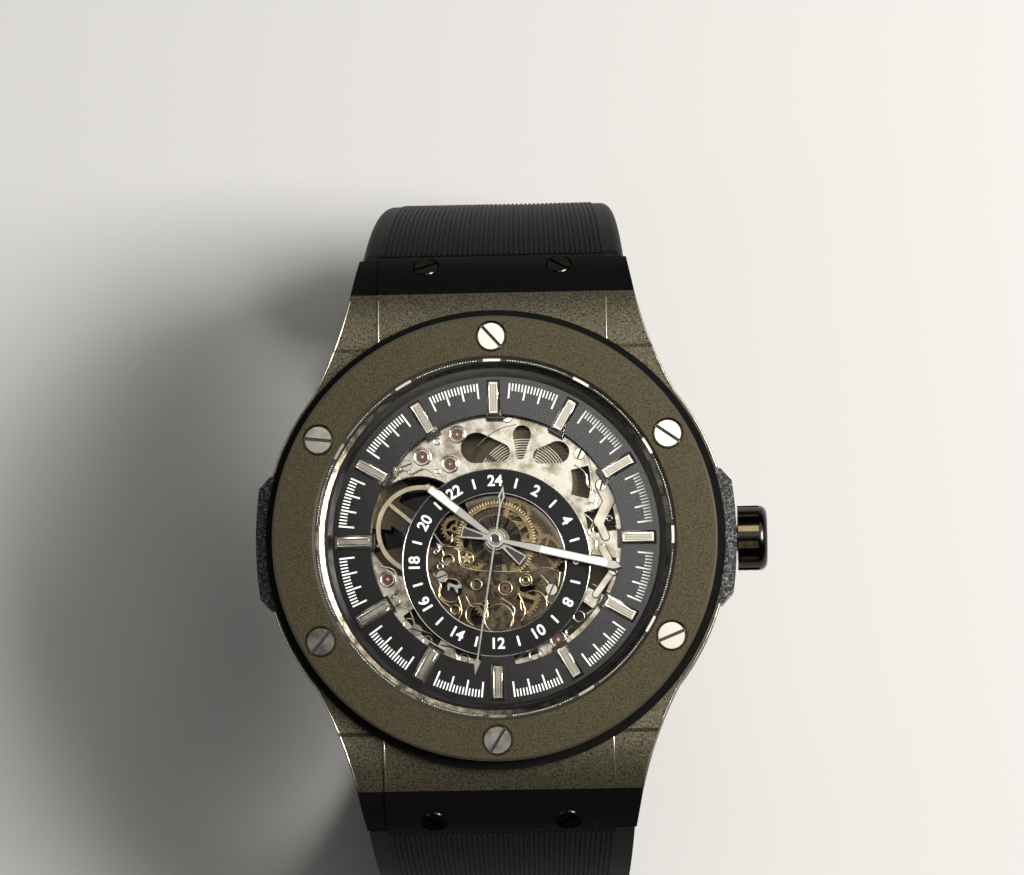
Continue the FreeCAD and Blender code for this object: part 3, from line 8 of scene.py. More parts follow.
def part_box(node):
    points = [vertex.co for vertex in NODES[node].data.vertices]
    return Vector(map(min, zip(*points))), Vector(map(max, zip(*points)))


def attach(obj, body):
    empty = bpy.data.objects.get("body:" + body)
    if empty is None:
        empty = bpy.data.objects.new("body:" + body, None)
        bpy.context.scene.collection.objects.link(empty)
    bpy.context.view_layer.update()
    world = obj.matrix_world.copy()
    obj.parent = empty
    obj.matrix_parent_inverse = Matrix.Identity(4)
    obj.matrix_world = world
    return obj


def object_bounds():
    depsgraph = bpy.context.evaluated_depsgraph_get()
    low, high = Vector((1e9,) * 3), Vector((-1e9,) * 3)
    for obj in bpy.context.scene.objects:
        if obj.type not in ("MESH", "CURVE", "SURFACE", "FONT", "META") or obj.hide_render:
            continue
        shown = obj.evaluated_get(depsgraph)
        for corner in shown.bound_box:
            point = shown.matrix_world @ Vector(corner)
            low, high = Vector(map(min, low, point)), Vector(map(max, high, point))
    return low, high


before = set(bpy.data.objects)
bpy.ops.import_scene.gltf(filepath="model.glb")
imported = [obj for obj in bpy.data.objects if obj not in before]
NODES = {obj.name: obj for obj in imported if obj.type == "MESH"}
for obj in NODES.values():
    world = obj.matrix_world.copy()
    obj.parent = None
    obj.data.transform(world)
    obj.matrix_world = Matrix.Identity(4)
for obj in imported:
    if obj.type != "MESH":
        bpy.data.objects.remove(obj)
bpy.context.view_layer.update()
MM = 0.001
METAL_GRAIN, PRINT_GRAIN = 900, 2500


# ---------------------------------------------------------------- material helpers
def material(name, color, rough=0.4, metal=0.0, coat=0.0, spec=0.5):
    m = bpy.data.materials.new(name)
    m.use_nodes = True
    shader = principled(m)
    shader.inputs["Base Color"].default_value = (*color, 1)
    shader.inputs["Roughness"].default_value = rough
    shader.inputs["Metallic"].default_value = metal
    shader.inputs["Coat Weight"].default_value = coat
    shader.inputs["Specular IOR Level"].default_value = spec
    return m


def principled(m):
    return m.node_tree.nodes["Principled BSDF"]


def add(m, kind, **settings):
    node = m.node_tree.nodes.new(kind)
    for key, value in settings.items():
        setattr(node, key, value)
    return node


def grain(m, scale, strength, detail=3.0, distance=2e-5):
    """A fine surface relief from noise in object space. Returns the noise, for other uses."""
    links = m.node_tree.links
    coordinates = add(m, "ShaderNodeTexCoord")
    noise = add(m, "ShaderNodeTexNoise")
    noise.inputs["Scale"].default_value = scale
    noise.inputs["Detail"].default_value = detail
    bump = add(m, "ShaderNodeBump")
    bump.inputs["Strength"].default_value = strength
    bump.inputs["Distance"].default_value = distance
    links.new(coordinates.outputs["Object"], noise.inputs["Vector"])
    links.new(noise.outputs[0], bump.inputs["Height"])
    links.new(bump.outputs["Normal"], principled(m).inputs["Normal"])
    return noise


def speckle(m, noise, low, high, socket="Base Color", start=0.35, end=0.65):
    """Feeds a noise through two values into one of the shader's sockets."""
    links = m.node_tree.links
    ramp = add(m, "ShaderNodeValToRGB")
    ramp.color_ramp.elements[0].position = start
    ramp.color_ramp.elements[1].position = end
    for stop, value in zip(ramp.color_ramp.elements, (low, high)):
        stop.color = (*value, 1) if isinstance(value, tuple) else (value, value, value, 1)
    links.new(noise.outputs[0], ramp.inputs["Fac"])
    links.new(ramp.outputs["Color"], principled(m).inputs[socket])
    return ramp


def uneven(m, scale=METAL_GRAIN, share=0.25):
    """Handled metal or print: a faint relief, and a roughness that varies by a share."""
    rough = principled(m).inputs["Roughness"].default_value
    noise = grain(m, scale, 0.03)
    speckle(m, noise, rough * (1 - share), rough * (1 + share), socket="Roughness")


def polished_edges(m, color=(0.93, 0.88, 0.76), rough=0.12, lean=0.65, spread=0.3):
    """Makes leaning faces, such as bevels and tooth flanks, brighter and smoother than the flat ones."""
    links = m.node_tree.links
    shader = principled(m)
    way = add(m, "ShaderNodeNewGeometry")
    split = add(m, "ShaderNodeSeparateXYZ")
    size = add(m, "ShaderNodeMath", operation="ABSOLUTE")
    near = add(m, "ShaderNodeMath", operation="COMPARE")
    near.inputs[1].default_value, near.inputs[2].default_value = lean, spread
    links.new(way.outputs["True Normal"], split.inputs[0])
    links.new(split.outputs["Z"], size.inputs[0])
    links.new(size.outputs[0], near.inputs[0])
    for socket, data_type, kind, value in (
        ("Base Color", "RGBA", "_Color", (*color, 1)), ("Roughness", "FLOAT", "_Float", rough)
    ):
        mix = add(m, "ShaderNodeMix", data_type=data_type)
        inputs = {i.identifier: i for i in mix.inputs}
        outputs = {o.identifier: o for o in mix.outputs}
        old = shader.inputs[socket]
        if old.links:
            links.new(old.links[0].from_socket, inputs["A" + kind])
        else:
            inputs["A" + kind].default_value = old.default_value
        inputs["B" + kind].default_value = value
        links.new(near.outputs[0], inputs["Factor_Float"])
        links.new(outputs["Result" + kind], old)


def mix_color(m, factor, first, second):
    """Links a mix of two colours, each a value or a socket, into the shader's colour."""
    links = m.node_tree.links
    mix = add(m, "ShaderNodeMixRGB")
    links.new(factor, mix.inputs["Fac"])
    for socket, color in (("Color1", first), ("Color2", second)):
        if isinstance(color, tuple):
            mix.inputs[socket].default_value = (*color, 1)
        else:
            links.new(color, mix.inputs[socket])
    links.new(mix.outputs["Color"], principled(m).inputs["Base Color"])


def chopped_fibre(m, scale, width, low, high):
    """Thin, wandering pale lines: the places where a noise crosses its middle value."""
    noise = grain(m, scale, 0.5, 2.0, distance=4e-5)
    links = m.node_tree.links
    shift = add(m, "ShaderNodeMath", operation="SUBTRACT")
    shift.inputs[1].default_value = 0.5
    size = add(m, "ShaderNodeMath", operation="ABSOLUTE")
    links.new(noise.outputs[0], shift.inputs[0])
    links.new(shift.outputs[0], size.inputs[0])
    speckle(m, size, high, low, start=width / 3, end=width)


def dark_inside(m, color=(0.085, 0.07, 0.05)):
    """Paints shade on the faces that look up into the movement, under the dial: they are darkened as if
    shadowed by the plate above.
    """
    links = m.node_tree.links
    way = add(m, "ShaderNodeNewGeometry")
    split = add(m, "ShaderNodeSeparateXYZ")
    up = add(m, "ShaderNodeMath", operation="GREATER_THAN")
    up.inputs[1].default_value = 0.5
    links.new(way.outputs["True Normal"], split.inputs[0])
    links.new(split.outputs["Z"], up.inputs[0])
    mix_color(m, up.outputs[0], principled(m).inputs["Base Color"].links[0].from_socket, color)


def front_plate():
    """The main plate: pale champagne round the edge and dark bronze in the middle."""
    m = material("front_plate", (0.78, 0.71, 0.57), 0.17, 1.0)
    links = m.node_tree.links
    noise = grain(m, 700, 0.4, 5.0)
    tone = speckle(m, noise, (0.42, 0.36, 0.25), (0.93, 0.88, 0.75), start=0.36, end=0.56)
    coordinates = add(m, "ShaderNodeTexCoord")
    away = add(m, "ShaderNodeVectorMath", operation="DISTANCE")
    away.inputs[1].default_value = (0, -2.1 * MM, 8 * MM)
    edge = add(m, "ShaderNodeMapRange")
    edge.inputs["From Min"].default_value, edge.inputs["From Max"].default_value = 5.8 * MM, 7.6 * MM
    links.new(coordinates.outputs["Object"], away.inputs[0])
    links.new(away.outputs["Value"], edge.inputs["Value"])
    mix_color(m, edge.outputs["Result"], (0.10, 0.08, 0.055), tone.outputs["Color"])
    polished_edges(m)
    return m


def flange_lacquer():
    """Black lacquer with a painted highlight: it turns to a soft grey towards the upper right of the dial,
    where the light falls.
    """
    m = material("flange_lacquer", (0.006, 0.006, 0.006), 0.4, spec=0.3)
    links = m.node_tree.links
    coordinates = add(m, "ShaderNodeTexCoord")
    along = add(m, "ShaderNodeVectorMath", operation="DOT_PRODUCT")
    along.inputs[1].default_value = (0.707, 0.707, 0)
    share = add(m, "ShaderNodeMapRange")
    share.inputs["From Min"].default_value, share.inputs["From Max"].default_value = -2 * MM, 14 * MM
    links.new(coordinates.outputs["Object"], along.inputs[0])
    links.new(along.outputs["Value"], share.inputs["Value"])
    # The soft grey towards the upper right is a painted highlight on the black lacquer.
    mix_color(m, share.outputs["Result"], (0.006, 0.006, 0.006), (0.07, 0.069, 0.064))
    return m


# ---------------------------------------------------------------- materials
olive = material("olive_blasted", (0.10, 0.088, 0.058), 0.4, 0.8)
speckle(olive, grain(olive, 6500, 0.5, 4.0), (0.030, 0.027, 0.018), (0.150, 0.132, 0.085))
polished_edges(olive, (0.34, 0.30, 0.22), 0.3, lean=0.707, spread=0.1)
olive_bezel = material("olive_bezel", (0.09, 0.08, 0.052), 0.28, 0.8)
speckle(olive_bezel, grain(olive_bezel, 6000, 0.3, 4.0), (0.046, 0.039, 0.022), (0.106, 0.090, 0.051))
polished_edges(olive_bezel, (0.13, 0.115, 0.08), 0.3, lean=0.707, spread=0.1)
resin = material("black_resin", (0.03, 0.03, 0.029), 0.35, spec=0.2)
chopped_fibre(resin, 2600, 0.026, (0.020, 0.020, 0.020), (0.24, 0.24, 0.235))
black_ring = material("black_ring", (0.003, 0.003, 0.003), 0.35, spec=0.05)
rubber = material("strap_rubber", (0.004, 0.004, 0.004), 0.5, spec=0.11)
grain(rubber, 5000, 0.12)
dial_black = material("dial_lacquer", (0.005, 0.005, 0.005), 0.09, spec=1.0)
grain(dial_black, 2500, 0.04)
# The flange's black lacquer, with a painted highlight towards the upper right.
flange_black_painted_highlight = flange_lacquer()
matte_black = material("ring_print", (0.006, 0.006, 0.006), 0.5, spec=0.12)
grain(matte_black, 3500, 0.1)
white = material("white_print", (0.82, 0.82, 0.80), 0.5)
lume = material("white_filling", (0.80, 0.80, 0.77), 0.4)
ruby = material("ruby", (0.082, 0.038, 0.028), 0.08, coat=0.5)
# Black of the gaskets, also used as painted shade in the screw slots and marker grooves.
dark = material("gasket_black_and_painted_shade", (0.01, 0.01, 0.01), 0.5)

steel = material("polished_champagne", (0.90, 0.85, 0.74), 0.1, 1.0)
chrome = material("polished_steel", (0.88, 0.87, 0.84), 0.12, 1.0)
brushed = material("brushed_champagne", (0.62, 0.56, 0.45), 0.18, 1.0)
case_edge = material("case_edge", (0.6, 0.56, 0.46), 0.22, 1.0)
flange_rim = material("flange_rim", (0.15, 0.13, 0.095), 0.22, 1.0)
speckle(flange_rim, grain(flange_rim, 1500, 0.5, 4.0), (0.05, 0.043, 0.03), (0.30, 0.26, 0.19))
bead_steel = material("bead_steel", (0.86, 0.84, 0.78), 0.3, 1.0)
hand_steel = material("hand_steel", (0.70, 0.68, 0.62), 0.16, 1.0)
gunmetal = material("gunmetal", (0.10, 0.085, 0.075), 0.2, 1.0)
bluing = material("blued_spring", (0.10, 0.12, 0.24), 0.25, 1.0)
spring_steel = material("spring_steel", (0.62, 0.56, 0.44), 0.25, 1.0)
crown_bronze = material("crown_bronze", (0.30, 0.23, 0.13), 0.25, 1.0)
crown_black = material("crown_black", (0.035, 0.032, 0.028), 0.16, 1.0)
grain(crown_black, 2500, 0.05)

nickel = material("nickel_plate", (0.78, 0.71, 0.57), 0.3, 1.0)
speckle(nickel, grain(nickel, 700, 0.35, 5.0), (0.5, 0.43, 0.31), (0.86, 0.80, 0.67), start=0.3, end=0.6)
polished_edges(nickel)
bridge_nickel_painted_shade = material("bridge_nickel_painted_shade", (0.78, 0.71, 0.57), 0.3, 1.0)
noise = grain(bridge_nickel_painted_shade, 700, 0.3, 5.0)
speckle(bridge_nickel_painted_shade, noise, (0.6, 0.53, 0.40), (0.86, 0.80, 0.67), start=0.3, end=0.6)
# The bridges' faces that look up, under the plate, get painted shade.
dark_inside(bridge_nickel_painted_shade)
nickel_low = material("dark_bronze", (0.13, 0.10, 0.07), 0.25, 1.0)
speckle(nickel_low, grain(nickel_low, 1600, 0.35, 4.0), (0.035, 0.028, 0.02), (0.17, 0.135, 0.09), end=0.62)
polished_edges(nickel_low, (0.9, 0.78, 0.52))
wheel_bronze = material("wheel_bronze", (0.30, 0.22, 0.12), 0.25, 1.0)
uneven(wheel_bronze)
polished_edges(wheel_bronze, (0.9, 0.7, 0.38))
gold = material("gilt", (0.40, 0.30, 0.16), 0.22, 1.0)
speckle(gold, grain(gold, 1200, 0.3, 4.0), (0.22, 0.165, 0.085), (0.52, 0.40, 0.21))
gold_bright = material("bright_gilt", (0.95, 0.78, 0.45), 0.2, 1.0)
pale_gold = material("pale_gilt", (0.74, 0.64, 0.44), 0.2, 1.0)
uneven(pale_gold)
polished_edges(pale_gold, (0.9, 0.82, 0.6))

for finish in (steel, chrome, brushed, case_edge, bead_steel, hand_steel, gunmetal, bluing, spring_steel,
               crown_bronze, gold_bright):
    uneven(finish)
for finish in (black_ring, white, lume, ruby, dark):
    uneven(finish, PRINT_GRAIN)

sapphire = material("sapphire", (1, 1, 1), 0.03, 1.0)
principled(sapphire).inputs["Alpha"].default_value = 0.0025
smoked = material("smoked_glass", (0.006, 0.006, 0.006), 0.05)
principled(smoked).inputs["Alpha"].default_value = 0.9

FINISH = {
    "upper_case": olive, "lower_case": olive, "middle_case": resin, "upper_lug_cover": black_ring,
    "lower_lug_cover": black_ring, "lug_screws": crown_black, "bezel": olive_bezel, "bezel_screws": steel,
    "bezel_seat_ring": black_ring, "crystal": sapphire, "crystal_gasket": dark, "dial_flange": flange_black_painted_highlight,
    "caseback_ring": olive, "caseback_glass": smoked, "caseback_gasket": dark, "caseback_screws": steel,
    "movement_ring": gunmetal, "dial": dial_black, "hour_markers": steel,
    "hour_hand": hand_steel, "minute_hand": hand_steel, "seconds_hand": hand_steel,
    "main_plate": front_plate(), "barrel_bridge": bridge_nickel_painted_shade, "train_bridge": bridge_nickel_painted_shade,
    "balance_cock": bridge_nickel_painted_shade, "motion_bridge": nickel_low, "movement_jewels": ruby,
    "movement_screws": steel, "barrel": bridge_nickel_painted_shade, "mainspring": spring_steel,
    "ratchet_wheel": bridge_nickel_painted_shade, "crown_wheel": bridge_nickel_painted_shade, "click": chrome, "centre_wheel": gold,
    "third_wheel": wheel_bronze, "fourth_wheel": wheel_bronze, "escape_wheel": chrome,
    "pallet_fork": chrome, "balance_wheel": pale_gold, "hairspring": bluing, "minute_wheel": wheel_bronze,
    "hour_wheel": gold, "setting_lever": nickel, "yoke": nickel, "clutch_wheel": chrome,
    "winding_pinion": chrome, "winding_stem": chrome, "rotor": bridge_nickel_painted_shade, "rotor_post": chrome,
    "crown": crown_black, "crown_tube": gunmetal, "crown_seal": dark, "upper_strap": rubber,
    "lower_strap": rubber, "buckle_frame": olive, "buckle_bar": chrome, "buckle_tang": olive,
    "fixed_keeper": rubber, "sliding_keeper": rubber,
}
for name, node in NODES.items():
    node.data.materials.clear()
    node.data.materials.append(FINISH[name])


# ---------------------------------------------------------------- shapes
class Shape:
    """Collects faces in millimetres and makes one piece of them."""

    def __init__(self):
        self.verts, self.faces = [], []

    def slab(self, points, low, high):
        """A flat outline with a thickness. The points run anticlockwise."""
        n, first = len(points), len(self.verts)
        self.verts += [(x, y, low) for x, y in points] + [(x, y, high) for x, y in points]
        self.faces.append([first + n + i for i in range(n)])
        self.faces.append([first + n - 1 - i for i in range(n)])
        for i in range(n):
            a, b = first + i, first + (i + 1) % n
            self.faces.append([a, b, b + n, a + n])

    def band(self, inner, outer, first, last, low, high, at=(0, 0), steps=12):
        """An arc-shaped bar between two radii and two bearings in degrees."""
        for i in range(steps):
            a, b = (math.radians(first + (last - first) * k / steps) for k in (i, i + 1))
            corners = [(inner, a), (outer, a), (outer, b), (inner, b)]
            self.slab([(at[0] + r * math.cos(t), at[1] + r * math.sin(t)) for r, t in corners], low, high)

    def tube(self, path, radius, sides=8, closed=False):
        """A round wire along points in space."""
        first, count = len(self.verts), len(path)
        for i, p in enumerate(path):
            ahead = path[(i + 1) % count] if closed or i + 1 < count else p
            behind = path[i - 1] if closed or i else p
            along = (Vector(ahead) - Vector(behind)).normalized()
            side = along.cross(Vector((0, 0, 1)))
            side = side.normalized() if side.length > 1e-6 else Vector((1, 0, 0))
            up = side.cross(along)
            for k in range(sides):
                t = 2 * math.pi * k / sides
                out = side * (radius * math.cos(t)) + up * (radius * math.sin(t))
                self.verts.append(tuple(Vector(p) + out))
        for i in range(count if closed else count - 1):
            a, b = first + i * sides, first + ((i + 1) % count) * sides
            self.faces += [[a + k, a + (k + 1) % sides, b + (k + 1) % sides, b + k] for k in range(sides)]

    def wire_ring(self, radius, z, thick, at=(0, 0), steps=120, sides=8):
        """A closed round wire at one height."""
        turns = [2 * math.pi * i / steps for i in range(steps)]
        path = [(at[0] + radius * math.cos(t), at[1] + radius * math.sin(t), z) for t in turns]
        self.tube(path, thick, sides, True)

    def lathe(self, section, steps=240):
        """A ring about the dial's axis from a closed section of (radius, height) points."""
        first, n = len(self.verts), len(section)
        for i in range(steps):
            t = 2 * math.pi * i / steps
            self.verts += [(r * math.cos(t), r * math.sin(t), z) for r, z in section]
        for i in range(steps):
            a, b = first + i * n, first + (i + 1) % steps * n
            self.faces += [[a + k, b + k, b + (k + 1) % n, a + (k + 1) % n] for k in range(n)]

    def make(self, name, mat, body, slot, smooth=False):
        """Turns the faces into a piece that rides on a body."""
        mesh = bpy.data.meshes.new(name)
        mesh.from_pydata([(x * MM, y * MM, z * MM) for x, y, z in self.verts], [], self.faces)
        mesh.materials.append(mat)
        place(bpy.data.objects.new(name, mesh), body, smooth)


def place(obj, body, smooth=False):
    """Adds a piece to the scene, riding on a body, shaded smooth if asked."""
    if smooth:
        obj.data.shade_smooth()
    bpy.context.collection.objects.link(obj)
    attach(obj, body)


def top(node):
    """The height of a node's highest point in millimetres."""
    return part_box(node)[1].z / MM


def clock(radius, degrees, at=(0, 0)):
    """A point at a radius and an angle clockwise from 12 o'clock."""
    a = math.radians(degrees)
    return at[0] + radius * math.sin(a), at[1] + radius * math.cos(a)


def turned(points, degrees, at=(0, 0)):
    """Turns points drawn about the origin clockwise, then moves them."""
    a = math.radians(-degrees)
    c, s = math.cos(a), math.sin(a)
    return [(at[0] + x * c - y * s, at[1] + x * s + y * c) for x, y in points]


def bar(half_width, start, end):
    """A bar's four corners, drawn along 12 o'clock."""
    return [(-half_width, start), (half_width, start), (half_width, end), (-half_width, end)]


def tick(shape, inner, outer, width, degrees, low, high, at=(0, 0)):
    """A printed line along the radius."""
    shape.slab(turned(bar(width / 2, inner, outer), degrees, at), low, high)


# ---------------------------------------------------------------- hour markers
MARKER_IN, MARKER_OUT, MARKER_HALF = 11.8, 14.7, 0.4
PANEL_IN, PANEL_OUT, PANEL_WIDE = 11.98, 14.5, 0.34
GROOVE_X, GROOVE_HALF, GROOVE_IN, GROOVE_OUT = 0.235, 0.03, 11.95, 14.55


def marker_panels():
    """The brushed panel let into the top of each hour marker, its two grooves drawn as thin black strips of
    painted shade, and its polished frame.
    """
    z = top("hour_markers")
    panels, grooves, edges = Shape(), Shape(), Shape()
    for turn in range(0, 360, 30):
        tick(panels, PANEL_IN, PANEL_OUT, PANEL_WIDE, turn, z - 0.01, z + 0.02)
        # The two grooves are thin black strips on the marker's top: painted shade.
        for side in (-1, 1):
            groove = [(x + GROOVE_X * side, y) for x, y in bar(GROOVE_HALF, GROOVE_IN, GROOVE_OUT)]
            grooves.slab(turned(groove, turn), z - 0.01, z + 0.008)
        frame_line = turned(bar(MARKER_HALF, MARKER_IN, MARKER_OUT), turn)
        edges.tube([(x, y, z) for x, y in frame_line], 0.04, 6, True)
    panels.make("marker_panels", brushed, "case", "polished_steel")
    grooves.make("marker_groove_shades", dark, "case", "dial_black")
    edges.make("marker_edges", steel, "case", "polished_steel", True)


# ---------------------------------------------------------------- dial print
RING24_AT = (0, -2.1)
RING24_IN, RING24_OUT, NUMBER_AT = 6.45, 8.75, 7.58
TRACK_OUT, LONG_IN, SHORT_IN = 14.7, 13.27, 14.0
NUMBER_SIZE, NUMBER_BOLD, NUMBER_THICK = 1.42, 0.032, 0.012
UPRIGHT_HOURS = (10, 12, 14)


def ring_print():
    """The matte black ring that carries the 24 h numbers."""
    print_ring = Shape()
    low = top("dial") - 0.01
    print_ring.band(RING24_IN + 0.03, RING24_OUT - 0.03, 0, 360, low, low + 0.014, RING24_AT, 120)
    print_ring.make("ring_print", matte_black, "case", "dial_black")


def minute_track():
    """Between two markers, a long line at each minute and four short ones between the minutes."""
    low, high = top("dial") + 0.005, top("dial") + 0.03
    track = Shape()
    for hour in range(12):
        for minute in range(1, 5):
            tick(track, LONG_IN, TRACK_OUT, 0.15, 30 * hour + 6 * minute, low, high)
        for fifth in range(6, 20):
            if fifth % 5:
                tick(track, SHORT_IN, TRACK_OUT, 0.12, 30 * hour + 1.2 * fifth, low, high)
    track.make("minute_track", white, "case", "white_lume")


def hour_numbers():
    """The 24 h ring's even numbers, all but the bottom three with their feet inward, and ticks between."""
    low = top("dial") + 0.005
    ticks = Shape()
    for hour in range(1, 24, 2):
        tick(ticks, 7.12, 8.05, 0.2, 15 * hour, low, low + 0.025, RING24_AT)
    ticks.make("hour24_ticks", white, "case", "white_lume")
    for hour in range(2, 26, 2):
        words = bpy.data.curves.new(f"number_{hour}", "FONT")
        words.body = str(hour)
        words.size, words.offset, words.extrude = NUMBER_SIZE * MM, NUMBER_BOLD * MM, NUMBER_THICK * MM
        words.align_x, words.align_y = "CENTER", "CENTER"
        carrier = bpy.data.objects.new("number_carrier", words)
        bpy.context.collection.objects.link(carrier)
        graph = bpy.context.evaluated_depsgraph_get()
        mesh = bpy.data.meshes.new_from_object(carrier.evaluated_get(graph))
        bpy.data.objects.remove(carrier)
        mesh.materials.clear()
        mesh.materials.append(white)
        x, y = clock(NUMBER_AT, 15 * hour, RING24_AT)
        spin = -15 * hour + (180 if hour in UPRIGHT_HOURS else 0)
        shift = Matrix.Translation((x * MM, y * MM, (low + 0.015) * MM))
        mesh.transform(shift @ Matrix.Rotation(math.radians(spin), 4, "Z"))
        place(bpy.data.objects.new(f"number_{hour}", mesh), "case")


def ring_edges():
    """Polished rims of the dial's openings."""
    z = top("dial") - 0.02
    rims = Shape()
    rims.wire_ring(RING24_OUT - 0.02, z, 0.05, RING24_AT)
    rims.wire_ring(RING24_IN + 0.02, z, 0.06, RING24_AT)
    rims.make("ring_rims", chrome, "case", "polished_steel", True)


BEADS, BEAD_SIZE, BEAD_ROW, BEAD_LIFT = 420, 0.088, 16.48, 0.02
BAR_CLEAR, BAR_TURN, BAR_HALF = 4.6, 2.8, 0.12


def edge_beads():
    """The coin-edged ring round the crystal: a row of beads, with a gap for the bar at each hour."""
    z = top("crystal_gasket") + BEAD_LIFT
    ball = bmesh.new()
    bmesh.ops.create_icosphere(ball, subdivisions=1, radius=BEAD_SIZE)
    ball.verts.index_update()
    verts = [tuple(v.co) for v in ball.verts]
    faces = [[v.index for v in face.verts] for face in ball.faces]
    beads = Shape()
    for i in range(BEADS):
        angle = 360 * i / BEADS
        if min(angle % 30, 30 - angle % 30) < BAR_CLEAR:
            continue
        x, y = clock(BEAD_ROW, angle)
        first = len(beads.verts)
        beads.verts += [(x + a, y + b, z + c) for a, b, c in verts]
        beads.faces += [[first + k for k in f] for f in faces]
    ball.free()
    beads.make("edge_beads", bead_steel, "case", "polished_steel", True)


def flange_mirror():
    """The polished rim that the flange shows inside the beads."""
    lip = top("dial_flange")
    rim = Shape()
    rim.lathe([(16.32, lip + 0.13), (15.9, lip - 0.02), (15.94, lip - 0.08), (16.32, lip + 0.01)])
    rim.make("flange_mirror", flange_rim, "case", "polished_steel")


def edge_bars():
    """The coin edge's plain bar at each hour."""
    z = top("crystal_gasket") + BEAD_LIFT
    bars = Shape()
    for middle in range(0, 360, 30):
        bars.band(BEAD_ROW - BAR_HALF, BEAD_ROW + BAR_HALF, middle - BAR_TURN, middle + BAR_TURN,
                  z - 0.05, z + 0.1, steps=6)
    bars.make("edge_bars", steel, "case", "polished_steel")


# ---------------------------------------------------------------- hands
HOUR_TURN, MINUTE_TURN, SECONDS_TURN = 308.6, 103.3, 189.3
HAND_TAIL, HOUR_TEETH = 3.1, 80


def hand_filling(name, node, body, turn, start, end, half):
    """The white strip let into a hand, with the dark hollow of its counterweight."""
    z = top(node)
    strip, hollow = Shape(), Shape()
    strip.slab(turned(bar(half, start, end), turn), z - 0.02, z + 0.03)
    strip.make(name, lume, body, "white_lume")
    outline = [(0.1, -1.2), (-0.1, -1.2), (-0.42, -HAND_TAIL), (0.42, -HAND_TAIL)]
    hollow.slab(turned(outline, turn), z - 0.03, z + 0.004)
    hollow.make(name + "_hollow", dark, body, "dial_black")


def hand_details():
    """Fillings and hollows of the hands, the seconds hand's leaf and the hour wheel's face."""
    hand_filling("hour_filling", "hour_hand", "hours", HOUR_TURN, 4.5, 7.72, 0.27)
    hand_filling("minute_filling", "minute_hand", "minutes", MINUTE_TURN, 4.3, 10.6, 0.26)
    leaf, disc = Shape(), Shape()
    outline = [(-0.14, -3.9), (0, -4.6), (0.14, -3.9), (0, -3.4)]
    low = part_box("seconds_hand")[0].z / MM + 0.1
    leaf.slab(turned(outline, SECONDS_TURN), low, low + 0.025)
    leaf.make("seconds_leaf", dark, "seconds", "dial_black")
    disc.band(1.25, 2.35, 0, 360, top("minute_wheel") - 0.02, top("minute_wheel") + 0.06, steps=60)
    disc.make("hour_wheel_face", gunmetal, "hours", "bronze_plate")


def wheel_teeth():
    """Polished lines on the tops of the hour wheel's 80 teeth."""
    points = [v.co / MM for v in NODES["hour_wheel"].data.vertices]
    outside = max(math.hypot(p.x, p.y) for p in points)
    tips = [p for p in points if math.hypot(p.x, p.y) > 0.99 * outside]
    turns = [HOUR_TEETH * math.atan2(p.y, p.x) for p in tips]
    first = math.atan2(sum(map(math.sin, turns)), sum(map(math.cos, turns))) / HOUR_TEETH
    high = max(p.z for p in tips)
    teeth = Shape()
    for i in range(HOUR_TEETH):
        turn = 90 - math.degrees(first) - 360 / HOUR_TEETH * i
        tick(teeth, outside - 0.27, outside - 0.02, 0.1, turn, high - 0.01, high + 0.012)
    teeth.make("hour_wheel_teeth", gold_bright, "hours", "gold")


def hand_cap():
    """The cap in the middle of the hands."""
    cap, eye = Shape(), Shape()
    z = top("seconds_hand") - 0.01
    cap.wire_ring(0.42, z, 0.07, steps=40)
    cap.make("hand_cap_ring", chrome, "seconds", "polished_steel", True)
    eye.band(0, 0.36, 0, 360, z, z + 0.03, steps=24)
    eye.make("hand_cap_eye", dark, "seconds", "dial_black")


# ---------------------------------------------------------------- crown and case
CROWN_GROOVES, GROOVE_DEPTH, GROOVE_SIDE = 12, 0.29, 0.32
EDGE_WIRE, EDGE_INSET = 0.08, 0.11
FACES_UP, STEEP = 0.85, 0.3
SCREWS_END, STEP_X, EARS_END, LUG_END = 19.6, 10.7, 6.4, 22.5


def crown_stripes():
    """The bronze floors of the crown's grooves."""
    low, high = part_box("crown")
    mid_z, radius = (low.z + high.z) / 2 / MM, (high.z - low.z) / 2 / MM - GROOVE_DEPTH
    floors = Shape()
    for i in range(CROWN_GROOVES):
        turn = 2 * math.pi * (i + 0.5) / CROWN_GROOVES
        c, s = math.cos(turn), math.sin(turn)
        corners = []
        for x in (low.x / MM + 0.02, high.x / MM - 0.8):
            for y in (-GROOVE_SIDE, GROOVE_SIDE):
                for z in (radius, radius + 0.03):
                    corners.append((x, -y * c - z * s, mid_z + z * c - y * s))
        first = len(floors.verts)
        floors.verts += corners
        faces = ((0, 1, 3, 2), (4, 6, 7, 5), (0, 4, 5, 1), (2, 3, 7, 6), (0, 2, 6, 4), (1, 5, 7, 3))
        floors.faces += [[first + k for k in f] for f in faces]
    floors.make("crown_stripes", crown_bronze, "crown", "bronze_plate")


